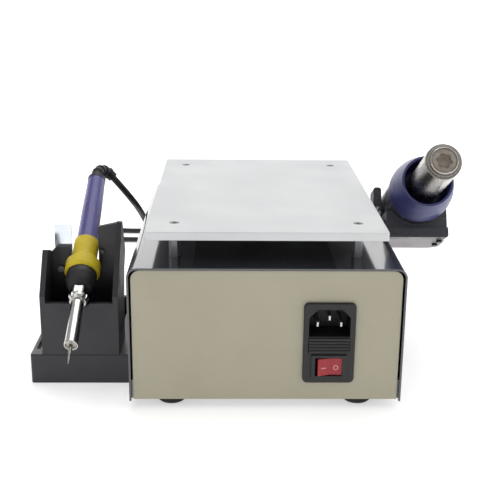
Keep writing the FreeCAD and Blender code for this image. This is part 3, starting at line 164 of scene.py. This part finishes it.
def add_room():
    """A pale glowing floor, a lit backdrop and a low lit rim round it, with three softboxes."""
    add_sky()
    paper = Finish("pale_paper", rough=0.9)
    paper.colour((0.93, 0.93, 0.93), (0.95, 0.95, 0.95), 0.4)
    paper.set("Emission Color", (1, 1, 1, 1))
    paper.set("Emission Strength", FLOOR_GLOW)
    lit = Finish("lit_paper", rough=1.0, edge=0)
    lit.set("Emission Color", (1, 1, 1, 1))
    lit.set("Emission Strength", 1.0)

    reach = FLOOR_REACH
    points = [(-reach, -reach, 0), (reach, -reach, 0), (reach, reach, 0), (-reach, reach, 0)]
    floor = room_surface("floor", points, [(0, 1, 2, 3)], paper)
    floor.location.z = -FLOOR_DROP

    wide, far, tall = BACKDROP
    points = [(-wide, far, 0), (wide, far, 0), (wide, far, tall), (-wide, far, tall)]
    backdrop = room_surface("backdrop", points, [(0, 1, 2, 3)], lit)

    count, away, rise = HORIZON
    turns = [2 * math.pi * step / count for step in range(count)]
    points = [(away * math.cos(a), away * math.sin(a), z) for z in (0, rise) for a in turns]
    quads = [(i, (i + 1) % count, count + (i + 1) % count, count + i) for i in range(count)]
    horizon = room_surface("horizon", points, quads, lit)

    for name, place, width, height, power in SOFTBOXES:
        add_softbox(name, place, SOFTBOX_TARGET, width, height, power)
    bpy.context.scene.view_settings.view_transform = "Standard"
    bpy.context.scene.view_settings.look = "None"


# ---------------------------------------------------------------- finishes

def paint(red, green, blue):
    """A colour given as 0 to 255 on a screen, in the linear values that a shader takes."""
    def linear(value):
        share = value / 255
        return share / 12.92 if share <= 0.04045 else ((share + 0.055) / 1.055) ** 2.4
    return linear(red), linear(green), linear(blue)


class Finish:
    """A procedural finish. Sizes of its texture are in metres on the object."""

    def __init__(self, name, rough=0.5, metal=0.0, coat=0.0, coat_rough=0.1, ior=1.5, edge=0.0004):
        self.material = bpy.data.materials.new(name)
        self.material.use_nodes = True
        self.nodes = self.material.node_tree.nodes
        self.links = self.material.node_tree.links
        self.shader = self.nodes["Principled BSDF"]
        self.set("Roughness", rough)
        self.set("Metallic", metal)
        self.set("Coat Weight", coat)
        self.set("Coat Roughness", coat_rough)
        self.set("IOR", ior)
        self.place = self.nodes.new("ShaderNodeTexCoord").outputs["Object"]
        self.normal = None
        if edge:
            rounded = self.nodes.new("ShaderNodeBevel")
            rounded.samples = 4
            rounded.inputs["Radius"].default_value = edge
            self.normal = rounded.outputs[0]
            self.links.new(self.normal, self.shader.inputs["Normal"])

    def set(self, socket, value):
        """Sets a number or colour on the shader itself."""
        self.shader.inputs[socket].default_value = value

    def spread(self, size, stretch=(1, 1, 1), turn=(0, 0, 0)):
        """Coordinates in which one unit is `size` metres, stretched and turned."""
        mapping = self.nodes.new("ShaderNodeMapping")
        mapping.vector_type = "TEXTURE"
        mapping.inputs["Rotation"].default_value = turn
        mapping.inputs["Scale"].default_value = [size * share for share in stretch]
        self.links.new(self.place, mapping.inputs["Vector"])
        return mapping.outputs[0]

    def noise(self, size, detail=3.0, stretch=(1, 1, 1), turn=(0, 0, 0)):
        """A cloudy pattern from 0 to 1."""
        texture = self.nodes.new("ShaderNodeTexNoise")
        texture.inputs["Scale"].default_value = 1.0
        texture.inputs["Detail"].default_value = detail
        self.links.new(self.spread(size, stretch, turn), texture.inputs["Vector"])
        return texture.outputs["Fac"]

    def cells(self, size, stretch=(1, 1, 1)):
        """Distances to scattered points, for the pores of a sponge."""
        texture = self.nodes.new("ShaderNodeTexVoronoi")
        texture.inputs["Scale"].default_value = 1.0
        self.links.new(self.spread(size, stretch), texture.inputs["Vector"])
        return texture.outputs["Distance"]

    def fit(self, value, low, high, start=0.3, end=0.7):
        """Stretches a pattern's start..end to low..high."""
        span = self.nodes.new("ShaderNodeMapRange")
        span.inputs["From Min"].default_value = start
        span.inputs["From Max"].default_value = end
        span.inputs["To Min"].default_value = low
        span.inputs["To Max"].default_value = high
        self.links.new(value, span.inputs["Value"])
        return span.outputs[0]

    def mix(self, share, first, second):
        """Mixes two colours, or sockets, by a pattern."""
        mixer = self.nodes.new("ShaderNodeMix")
        mixer.data_type = "RGBA"
        self.links.new(share, mixer.inputs["Factor"])
        for socket, value in ((mixer.inputs[6], first), (mixer.inputs[7], second)):
            if isinstance(value, bpy.types.NodeSocket):
                self.links.new(value, socket)
            else:
                socket.default_value = (*value, 1)
        return mixer.outputs[2]

    def colour(self, low, high, size, detail=3.0, stretch=(1, 1, 1)):
        """A colour that drifts between two."""
        pattern = self.fit(self.noise(size, detail, stretch), 0, 1)
        self.base = self.mix(pattern, low, high)
        self.links.new(self.base, self.shader.inputs["Base Color"])
        return self

    def over(self, share, colour):
        """Lays another colour over the base where the pattern is 1."""
        self.base = self.mix(share, self.base, colour)
        self.links.new(self.base, self.shader.inputs["Base Color"])
        return self

    def rough(self, low, high, size, detail=3.0, stretch=(1, 1, 1), turn=(0, 0, 0)):
        """A roughness that drifts between two."""
        pattern = self.fit(self.noise(size, detail, stretch, turn), low, high)
        self.links.new(pattern, self.shader.inputs["Roughness"])
        return self

    def bump(self, pattern, depth, strength=1.0):
        """Raises the surface by a pattern, on top of what is there."""
        node = self.nodes.new("ShaderNodeBump")
        node.inputs["Distance"].default_value = depth
        node.inputs["Strength"].default_value = strength
        self.links.new(pattern, node.inputs["Height"])
        if self.normal is not None:
            self.links.new(self.normal, node.inputs["Normal"])
        self.normal = node.outputs[0]
        self.links.new(self.normal, self.shader.inputs["Normal"])
        return self

    def facing_down(self):
        """1 where the surface faces the bench."""
        shape = self.nodes.new("ShaderNodeNewGeometry")
        split = self.nodes.new("ShaderNodeSeparateXYZ")
        self.links.new(shape.outputs["Normal"], split.inputs[0])
        return self.fit(split.outputs["Z"], 1, 0, -0.9, -0.5)

    def painted_edge_shading(self, colour, reach=0.0006, amount=0.7):
        """Paints another colour on sharp outer edges, broken up by fine noise. It stands for light falling on the
        edges: a painted highlight where the colour is paler, painted shade where it is darker.
        """
        rounded = self.nodes.new("ShaderNodeBevel")
        rounded.samples = 4
        rounded.inputs["Radius"].default_value = reach
        shape = self.nodes.new("ShaderNodeNewGeometry")
        dot = self.nodes.new("ShaderNodeVectorMath")
        dot.operation = "DOT_PRODUCT"
        self.links.new(rounded.outputs[0], dot.inputs[0])
        self.links.new(shape.outputs["Normal"], dot.inputs[1])
        edge = self.fit(dot.outputs["Value"], 1, 0, 0.80, 0.97)
        broken = self.nodes.new("ShaderNodeMath")
        broken.operation = "MULTIPLY"
        self.links.new(edge, broken.inputs[0])
        self.links.new(self.fit(self.noise(0.004, 4), 0, amount, 0.45, 0.65), broken.inputs[1])
        return self.over(broken.outputs[0], colour)


def powder_coat(name, low, high, rough=0.42):
    """Satin powder coat with its fine orange peel."""
    coat = Finish(name, rough, edge=0.0005).colour(low, high, 0.05)
    coat.rough(rough - 0.05, rough + 0.06, 0.02)
    return coat.bump(coat.noise(0.0011, 2), 0.00003)


def gloss_enamel(name, low, high):
    """Deep gloss enamel on sheet steel, with faint waviness and a fine orange peel."""
    enamel = Finish(name, 0.14, coat=0.6, coat_rough=0.04, ior=1.6, edge=0.0005).colour(low, high, 0.06)
    enamel.set("Coat IOR", 1.6)
    enamel.bump(enamel.noise(0.03, 1), 0.00006)
    return enamel.bump(enamel.noise(0.0013, 2), 0.000006)


def moulded(name, low, high, rough=0.45, grain=0.0009, depth=0.00002):
    """Injection-moulded plastic with a spark-eroded grain."""
    plastic = Finish(name, rough).colour(low, high, 0.02)
    plastic.rough(rough - 0.07, rough + 0.07, 0.012)
    return plastic.bump(plastic.noise(grain, 2), depth)


def rubbery(name, low, high, rough=0.6):
    """Rubber or silicone, with a little bloom."""
    rubber = Finish(name, rough, ior=1.45).colour(low, high, 0.008)
    rubber.rough(rough - 0.1, rough + 0.1, 0.006)
    return rubber.bump(rubber.noise(0.0006, 3), 0.00002)


def brushed(name, low, high, rough=0.25, lines=(1, 1, 0.02), turn=(0, 0, 0), depth=0.000004):
    """Steel with fine lines across its length."""
    metal = Finish(name, rough, metal=1.0).colour(low, high, 0.02)
    metal.rough(rough - 0.07, rough + 0.09, 0.004, 4, lines, turn)
    return metal.bump(metal.noise(0.003, 3, lines, turn), depth)


def plated(name, low, high, rough=0.12):
    """Bright plating with faint smears."""
    metal = Finish(name, rough, metal=1.0, edge=0.0003).colour(low, high, 0.006)
    metal.rough(rough - 0.04, rough + 0.08, 0.005)
    return metal.bump(metal.noise(0.0012, 2), 0.000004)


def anodised_plate():
    """The heated plate: bead-blasted, pale anodised aluminium, with painted shade on its underside and along its
    sharp edges.
    """
    plate = Finish("plate_aluminium", 0.5, metal=0.35, edge=0.0006)
    plate.colour(paint(203, 205, 206), paint(210, 212, 212), 0.05)
    plate.rough(0.44, 0.56, 0.03)
    # Painted shade: a darker rim along the plate's sharp edges, for its shaded front edge.
    plate.painted_edge_shading(paint(186, 188, 189), 0.0006, 0.5)
    # Painted shade: faces turned to the bench are darkened, so the plate's underside and its reflection in the
    # cover look shaded.
    plate.over(plate.facing_down(), paint(120, 119, 124))
    return plate.bump(plate.noise(0.0005, 2), 0.000012)


def heater_silicone():
    """Glass-filled silicone with the weave of its cloth showing."""
    mat = Finish("silicone_heater", 0.6).colour(paint(50, 48, 48), paint(62, 60, 60), 0.02)
    waves = mat.nodes.new("ShaderNodeTexWave")
    waves.inputs["Scale"].default_value = 1.0
    mat.links.new(mat.spread(0.004), waves.inputs["Vector"])
    return mat.bump(waves.outputs["Fac"], 0.00008)


def board_green():
    """Solder mask over copper tracks."""
    board = Finish("board_green", 0.35, coat=0.4).colour(paint(20, 82, 48), paint(26, 98, 56), 0.01)
    tracks = board.fit(board.noise(0.004, 1, (1, 6, 1)), 0, 1, 0.5, 0.53)
    return board.over(tracks, paint(40, 120, 66))


def laminations():
    """Varnished iron laminations, stacked along Y."""
    iron = Finish("transformer_steel", 0.45, metal=0.6).colour(paint(84, 78, 74), paint(102, 94, 88), 0.01)
    return iron.bump(iron.noise(0.0007, 2, (40, 1, 40)), 0.0001)


def clear_glass():
    """The fuse's tube."""
    glass = Finish("glass_tube", 0.05, edge=0).colour((0.95, 0.97, 0.97), (1, 1, 1), 0.01)
    glass.set("Transmission Weight", 0.9)
    return glass


def fired_ceramic():
    """The heating element's holder, browned by heat."""
    holder = Finish("ceramic", 0.75).colour(paint(126, 118, 108), paint(156, 147, 136), 0.004)
    holder.over(holder.fit(holder.noise(0.006, 4), 0, 0.6, 0.5, 0.7), paint(120, 92, 66))
    return holder.bump(holder.noise(0.0006, 3), 0.00005)


def sponge_cellulose():
    """Cellulose sponge with open pores."""
    body = Finish("sponge_yellow", 0.9, edge=0).colour(paint(214, 190, 92), paint(228, 206, 116), 0.006)
    # Painted shade: the pores' hollows are darkened, on the same cells that dent the surface below.
    pores = body.fit(body.cells(0.0022, (1, 1, 0.7)), 1, 0, 0.12, 0.34)
    body.over(pores, paint(150, 122, 44))
    body.bump(body.cells(0.0022, (1, 1, 0.7)), 0.0006)
    return body.bump(body.noise(0.0008, 4), 0.0002)


def tinned_tip():
    """The iron's bit, its plating dulled by use."""
    tip = Finish("tip_steel", 0.35, metal=1.0, edge=0.0002)
    tip.colour(paint(150, 146, 140), paint(186, 182, 176), 0.004)
    tip.rough(0.25, 0.5, 0.002)
    return tip.bump(tip.noise(0.0008, 3), 0.00002)


def smoked_window():
    """Dark red acrylic in front of the display."""
    pane = Finish("smoked_window", 0.08, coat=1.0, coat_rough=0.03)
    pane.colour(paint(38, 6, 8), paint(48, 8, 10), 0.03)
    return pane.bump(pane.noise(0.02, 1), 0.00002)


def flat_print(name, colour):
    """Printed ink, slightly uneven."""
    ink = Finish(name, 0.55, edge=0)
    return ink.colour(colour, tuple(share * 0.85 for share in colour), 0.003)


def make_finishes():
    """Every finish by the name of the record's material slot."""
    gun_turn = (math.atan2(GUN_AXIS.y, -GUN_AXIS.z) - math.pi / 2, 0, 0)
    made = {
        "beige_paint": powder_coat("beige_paint", paint(163, 158, 137), paint(170, 165, 144)),
        "gloss_black_paint": gloss_enamel("gloss_black_paint", paint(56, 57, 63), paint(62, 63, 69)),
        "zinc_steel": brushed("zinc_steel", paint(118, 119, 122), paint(138, 139, 142), 0.4, (1, 0.05, 1)),
        "black_screw": plated("black_screw", paint(32, 32, 34), paint(46, 46, 48), 0.35),
        "foot_rubber": rubbery("foot_rubber", paint(24, 24, 26), paint(34, 34, 36), 0.65),
        "plate_aluminium": anodised_plate(),
        "bright_screw": plated("bright_screw", paint(84, 84, 86), paint(104, 104, 106), 0.3),
        "silicone_heater": heater_silicone(),
        "inlet_plastic": moulded("inlet_plastic", paint(14, 14, 18), paint(20, 20, 24), 0.45),
        "pin_metal": plated("pin_metal", paint(186, 184, 178), paint(208, 206, 200), 0.3),
        "glass_tube": clear_glass(),
        "rocker_red": moulded("rocker_red", paint(146, 22, 32), paint(158, 28, 38), 0.28, 0.002, 0.000008),
        "control_black": moulded("control_black", paint(30, 30, 32), paint(38, 38, 40), 0.5),
        "smoked_window": smoked_window(),
        "connector_metal": plated("connector_metal", paint(182, 182, 184), paint(202, 202, 204), 0.22),
        "transformer_steel": laminations(),
        "board_green": board_green(),
        "tube_steel": brushed("tube_steel", paint(168, 163, 156), paint(190, 186, 180), 0.24,
                              (1, 1, 0.03), gun_turn),
        "ceramic": fired_ceramic(),
        "guard_blue": moulded("guard_blue", paint(58, 60, 106), paint(66, 68, 118), 0.38),
        "handle_black": moulded("handle_black", paint(58, 59, 65), paint(66, 67, 73), 0.3),
        "bracket_steel": powder_coat("bracket_steel", paint(132, 124, 129), paint(144, 136, 141), 0.35),
        "stand_plastic": moulded("stand_plastic", paint(32, 31, 38), paint(38, 37, 44), 0.36),
        "rest_steel": brushed("rest_steel", paint(214, 220, 228), paint(226, 231, 238), 0.14, (0.03, 1, 1)),
        "sponge_yellow": sponge_cellulose(),
        "tip_steel": tinned_tip(),
        "sleeve_steel": plated("sleeve_steel", paint(196, 194, 190), paint(214, 212, 208), 0.14),
        "collar_black": rubbery("collar_black", paint(34, 33, 36), paint(42, 41, 44), 0.5),
        "grip_yellow": rubbery("grip_yellow", paint(210, 186, 38), paint(222, 198, 48), 0.5),
        "iron_purple": moulded("iron_purple", paint(78, 73, 134), paint(86, 81, 144), 0.3, 0.002, 0.00001),
        "cord_black": rubbery("cord_black", paint(32, 32, 33), paint(42, 42, 43), 0.5),
    }
    # Painted highlight: a pale colour along the stand's sharp outer edges, standing in for the bright lines where
    # light catches them.
    made["stand_plastic"].painted_edge_shading(paint(128, 128, 134), 0.0005, 0.55)
    return made


def dress_nodes(finishes):
    """Gives each CAD node the finish that the record names for it."""
    for part in frame["record"]["subparts"]:
        node = NODES[part["node"]]
        finish = finishes[part["material_slot"]]
        node.data.materials.clear()
        node.data.materials.append(finish.material)


# ---------------------------------------------------------------- building pieces

def keep(name, mesh, finish, body):
    """Makes a mesh a piece that rides on a body."""
    piece = bpy.data.objects.new(name, mesh)
    bpy.context.scene.collection.objects.link(piece)
    piece.data.materials.append(finish.material)
    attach(piece, body)
    return piece


def add_block(shape, centre, along, up, sizes):
    """Adds a box to a bmesh, with its own X along `along` and its Z along `up`."""
    across = Vector(up).cross(Vector(along))
    turn = Matrix((Vector(along), across, Vector(up))).transposed().to_4x4()
    place = Matrix.Translation(centre) @ turn @ Matrix.Diagonal((*sizes, 1))
    bmesh.ops.create_cube(shape, size=1.0, matrix=place)


def add_ring(shape, centre, normal, outer, inner, thick, steps=32):
    """Adds a flat ring to a bmesh."""
    turn = Vector((0, 0, 1)).rotation_difference(Vector(normal)).to_matrix()
    rows = []
    for radius, rise in ((inner, 0), (outer, 0), (outer, thick), (inner, thick)):
        row = []
        for step in range(steps):
            angle = 2 * math.pi * step / steps
            point = Vector((radius * math.cos(angle), radius * math.sin(angle), rise))
            row.append(shape.verts.new(Vector(centre) + turn @ point))
        rows.append(row)
    for first, second in zip(rows, rows[1:] + rows[:1]):
        for step in range(steps):
            after = (step + 1) % steps
            shape.faces.new((first[step], first[after], second[after], second[step]))


def finish_mesh(shape, name, smooth=False):
    """Turns a bmesh into a mesh with its normals outward."""
    bmesh.ops.recalc_face_normals(shape, faces=shape.faces)
    mesh = bpy.data.meshes.new(name)
    shape.to_mesh(mesh)
    shape.free()
    mesh.polygons.foreach_set("use_smooth", [smooth] * len(mesh.polygons))
    return mesh


# ---------------------------------------------------------------- the soldering iron's lead

CORD_DIAMETER = 4.8
CORD_LIE = CORD_DIAMETER / 2 + 0.1
CORD_ROUTE = (
    (-107.86, 156.69, 108.48), (-93.7, 161.4, 90.2), (-89.8, 213.5, 61.5), (-83, 237, 34),
    (-80, 257, 13), (-77, 283, CORD_LIE), (-71, 316, CORD_LIE), (-83, 343, CORD_LIE),
    (-112, 353, CORD_LIE), (-143, 348.5, CORD_LIE), (-159.5, 352, CORD_LIE), (-167, 366, CORD_LIE),
    (-159.5, 380.5, CORD_LIE), (-143, 384.5, CORD_LIE), (-112, 380.3, CORD_LIE), (-72, 384, CORD_LIE),
    (-28, 387, CORD_LIE), (17, 384, CORD_LIE), (55, 372, CORD_LIE), (76, 348, CORD_LIE),
    (65, 322, CORD_LIE), (34, 311, CORD_LIE), (3, 313, CORD_LIE), (-22, 317, CORD_LIE),
    (-40, 310, 4.5), (-48, 296, 12), (-50, 280, 19), (-50, 262, 19),
)


def smooth_route(name, points):
    """A NURBS curve with the route's points as its control points."""
    curve = bpy.data.curves.new(name, "CURVE")
    curve.dimensions = "3D"
    curve.resolution_u = 10
    spline = curve.splines.new("NURBS")
    spline.points.add(len(points) - 1)
    for control, point in zip(spline.points, points):
        control.co = (*point, 1)
    spline.order_u = 3
    spline.use_endpoint_u = True
    route = bpy.data.objects.new(name, curve)
    bpy.context.scene.collection.objects.link(route)
    return route


def as_mesh(obj):
    """A new mesh of a curve object as it is shown."""
    bpy.context.view_layer.update()
    return bpy.data.meshes.new_from_object(obj.evaluated_get(bpy.context.evaluated_depsgraph_get()))


def iron_lead(finishes):
    """The lead: from the handle's relief, along the bench and into the plug."""
    points = [at(*point) for point in CORD_ROUTE]
    route = smooth_route("lead_route", points)
    path = [vertex.co.copy() for vertex in as_mesh(route).vertices]
    route.data.bevel_depth = CORD_DIAMETER / 2 * MM
    route.data.bevel_resolution = 5
    route.data.use_fill_caps = True
    mesh = as_mesh(route)
    bpy.data.objects.remove(route)
    mesh.polygons.foreach_set("use_smooth", [True] * len(mesh.polygons))
    lead = bpy.data.objects.new("iron_lead", mesh)
    bpy.context.scene.collection.objects.link(lead)
    mesh.materials.clear()
    mesh.materials.append(finishes["cord_black"].material)
    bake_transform(lead)
    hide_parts("iron_cord")


# ---------------------------------------------------------------- the stand's sponge

SPONGE_GRID = (44, 40)
SPONGE_ACROSS = (0.46, 0.45)  # its middle and half its width, as shares of the CAD sponge
SPONGE_ALONG = (0.5, 0.49)
SPONGE_CROWN = 0.0014
SPONGE_SLIT = (0.0012, 0.003, 0.55)  # half its width, its depth, the share of the width it takes
SPONGE_GRAIN = 0.0001


def wet_sponge(finishes):
    """A cellulose sponge with soft corners, a slit and a crown, a little narrower than its well."""
    low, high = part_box("sponge")
    size = high - low
    shape = bmesh.new()
    across, along = SPONGE_GRID
    rows = []
    for j in range(along + 1):
        row = []
        for i in range(across + 1):
            u, v = 2 * i / across - 1, 2 * j / along - 1
            crown = (1 - u ** 6) * (1 - v ** 6)
            row.append(shape.verts.new((u, v, crown)))
        rows.append(row)
    for j in range(along):
        for i in range(across):
            shape.faces.new((rows[j][i], rows[j][i + 1], rows[j + 1][i + 1], rows[j + 1][i]))
    rim = [edge for edge in shape.edges if edge.is_boundary]
    sides = bmesh.ops.extrude_edge_only(shape, edges=rim)["geom"]
    lower = [item for item in sides if isinstance(item, bmesh.types.BMVert)]
    for vertex in lower:
        vertex.co.z = -1
    bmesh.ops.contextual_create(shape, geom=[e for e in shape.edges if e.is_boundary])
    rng = random.Random(4)
    for vertex in shape.verts:
        u, v, level = vertex.co
        squareness = max(abs(u), abs(v))
        pull = 1 - 0.035 * (abs(u * v)) ** 3
        x = low.x + size.x * (SPONGE_ACROSS[0] + SPONGE_ACROSS[1] * u * pull)
        y = low.y + size.y * (SPONGE_ALONG[0] + SPONGE_ALONG[1] * v * pull)
        if level < 0:
            z = low.z
        else:
            wide, deep, share = SPONGE_SLIT
            slit = math.exp(-((y - (low.y + size.y / 2)) / wide) ** 2) if abs(u) < share else 0
            z = high.z - 0.0016 + SPONGE_CROWN * level - deep * slit
            z += rng.uniform(-SPONGE_GRAIN, SPONGE_GRAIN)
            z -= 0.0012 * max(0, squareness - 0.93) / 0.07
        vertex.co = (x, y, z)
    piece = keep("cleaning_sponge", finish_mesh(shape, "cleaning_sponge", True), finishes["sponge_yellow"],
                 "station")
    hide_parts("sponge")


# ---------------------------------------------------------------- the gun's mouth

# millimetres: a radius, and a height from the tube's end
RING_STEPS = (
    (7.45, -3.6), (10.95, -3.6), (10.95, -3.0), (10.3, -2.9), (10.2, -3.3), (9.9, -3.3), (9.8, -1.9),
    (8.9, -1.8), (8.8, -2.2), (8.5, -2.2), (8.4, -0.5), (7.9, 0.0), (7.45, 0.0),
)
CORE_DEPTH = 24.0
CORE_LOBES = 6
CORE_OPENING = (4.4, 0.5)  # its mean radius and how far the lobes swing
CORE_FACETS = 96


def turned(shape, origin, rows, closed, steps=60):
    """Adds a surface round the gun's axis. A row is a radius, or a radius by angle, and a height."""
    side = GUN_AXIS.orthogonal().normalized()
    other = GUN_AXIS.cross(side)
    made = []
    for radius, rise in rows:
        row = []
        for step in range(steps):
            angle = 2 * math.pi * step / steps
            reach = radius(angle) if callable(radius) else radius
            out = side * math.cos(angle) + other * math.sin(angle)
            row.append(shape.verts.new(origin + (out * reach + GUN_AXIS * rise) * MM))
        made.append(row)
    for first, second in zip(made, made[1:] + (made[:1] if closed else [])):
        for step in range(steps):
            after = (step + 1) % steps
            shape.faces.new((first[step], first[after], second[after], second[step]))
    if not closed:
        shape.faces.new(made[0])
        shape.faces.new(made[-1])


def gun_mouth(finishes):
    """The stepped ring in the hot tube's end, and the heater's core with its lobed opening."""
    along = max((vertex.co - GUN_POINT).dot(GUN_AXIS) for vertex in NODES["gun_end_ring"].data.vertices)
    end = GUN_POINT + GUN_AXIS * along
    shape = bmesh.new()
    turned(shape, end, RING_STEPS, True)
    ring = keep("stepped_ring", finish_mesh(shape, "stepped_ring"), finishes["tube_steel"],
                "gun")
    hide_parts("gun_end_ring")

    def lobed(size):
        return lambda angle: size * (CORE_OPENING[0] + CORE_OPENING[1] * math.cos(CORE_LOBES * angle))

    rows = ((7.35, -CORE_DEPTH), (7.35, -0.6), (7.1, -0.3), (lobed(1.06), -0.3), (lobed(1.0), -0.6),
            (lobed(0.97), -2.6), (lobed(0.3), -2.8))
    shape = bmesh.new()
    turned(shape, end, rows, False, CORE_FACETS)
    core = keep("lobed_core", finish_mesh(shape, "lobed_core"), finishes["ceramic"], "gun")
    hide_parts("gun_core")


# ---------------------------------------------------------------- the inlet's pins

PIN_TAPER = 1.3
PIN_END = (0.55, 0.68)  # shares of the pin's width and height left at its end
PIN_SPACE = 3.0


def tapered_pins(finishes):
    """The three contact pins, with the chamfered ends that the plain ones lack."""
    groups = []
    for vertex in sorted(NODES["inlet_pins"].data.vertices, key=lambda item: item.co.x):
        if not groups or vertex.co.x - groups[-1][-1].x > PIN_SPACE * MM:
            groups.append([])
        groups[-1].append(vertex.co.copy())
    shape = bmesh.new()
    for points in groups:
        low = Vector([min(point[axis] for point in points) for axis in range(3)])
        high = Vector([max(point[axis] for point in points) for axis in range(3)])
        centre, half = (low + high) / 2, (high - low) / 2
        rows = []
        for y, wide, tall in ((high.y, 1, 1), (low.y + PIN_TAPER * MM, 1, 1), (low.y, *PIN_END)):
            corners = ((-1, -1), (1, -1), (1, 1), (-1, 1))
            rows.append([shape.verts.new((centre.x + half.x * wide * u, y, centre.z + half.z * tall * v))
                         for u, v in corners])
        for first, second in zip(rows, rows[1:]):
            for step in range(4):
                after = (step + 1) % 4
                shape.faces.new((first[step], first[after], second[after], second[step]))
        shape.faces.new(rows[0])
        shape.faces.new(rows[-1])
    pins = keep("contact_pins", finish_mesh(shape, "contact_pins"), finishes["pin_metal"],
                "station")
    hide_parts("inlet_pins")


# ---------------------------------------------------------------- small marks and details

INK_PROUD = 0.00003
INK_THICK = 0.00006
MARK_DROP = 0.0006
MARK_BAR = (0.0031, 0.00045, INK_THICK)
MARK_RING = (0.0015, 0.0011, INK_THICK)  # its outer and inner radius
SCALE_STROKES = 11
SCALE_START = 240
SCALE_TURN = 30
SCALE_RADIUS = 0.0102
SCALE_LONG = 0.0026
SCALE_SHORT = 0.0015
SCALE_WIDTH = 0.0005


def rocker_marks(ink):
    """The usual bar and ring on each rocker, printed just proud of its two faces."""
    for node in ("mains_rocker", "rocker_plate", "rocker_air", "rocker_iron"):
        shape = bmesh.new()
        for face in big_faces(node, 2):
            centre, normal, sideways = face
            on_side = sideways.x * (1 if node == "mains_rocker" else -1) < 0
            surface = centre + normal * INK_PROUD - Vector((0, 0, MARK_DROP))
            if on_side:
                add_block(shape, surface, Vector((0, 0, 1)).cross(normal).normalized(), normal, MARK_BAR)
            else:
                add_ring(shape, surface, normal, *MARK_RING)
        keep(node + "_marks", finish_mesh(shape, node + "_marks"), ink, node)


def big_faces(node, count):
    """The largest outward faces of a rocker: their centre, normal and sideways lean."""
    mesh = NODES[node].data
    outward = -1 if node == "mains_rocker" else 1
    groups = {}
    for polygon in mesh.polygons:
        normal = polygon.normal
        if normal.y * outward < 0.9:
            continue
        key = (round(normal.x, 2), round(normal.y, 2))
        area, centre = groups.get(key, (0.0, Vector()))
        groups[key] = (area + polygon.area, centre + polygon.center * polygon.area)
    best = sorted(groups.items(), key=lambda item: -item[1][0])[:count]
    whole = middle(node)
    found = []
    for (nx, ny), (area, centre) in best:
        normal = Vector((nx, ny, 0)).normalized()
        found.append((centre / area, normal, centre / area - whole))
    return found


def knob_scales(ink):
    """A ring of scale strokes round each knob on the front panel."""
    for name in ("knob_plate_heat", "knob_air_heat", "knob_air_flow", "knob_iron_heat"):
        hub = middle(name)
        shape = bmesh.new()
        for step in range(SCALE_STROKES):
            angle = math.radians(SCALE_START - SCALE_TURN * step)
            out = Vector((-math.cos(angle), 0, math.sin(angle)))
            length = SCALE_LONG if step % 5 == 0 else SCALE_SHORT
            centre = Vector((hub.x, FRONT_FACE + INK_PROUD, hub.z)) + out * (SCALE_RADIUS + length / 2)
            add_block(shape, centre, out, Vector((0, 1, 0)), (length, SCALE_WIDTH, INK_THICK))
        keep(name + "_scale", finish_mesh(shape, name + "_scale"), ink, "station")


# ---------------------------------------------------------------- the whole scene

def main():
    add_camera()
    add_room()
    finishes = make_finishes()
    dress_nodes(finishes)
    pale_ink = flat_print("pale_ink", paint(228, 176, 176))
    dark_ink = flat_print("dark_ink", paint(40, 40, 42))
    iron_lead(finishes)
    wet_sponge(finishes)
    gun_mouth(finishes)
    tapered_pins(finishes)
    rocker_marks(pale_ink)
    knob_scales(dark_ink)


main()
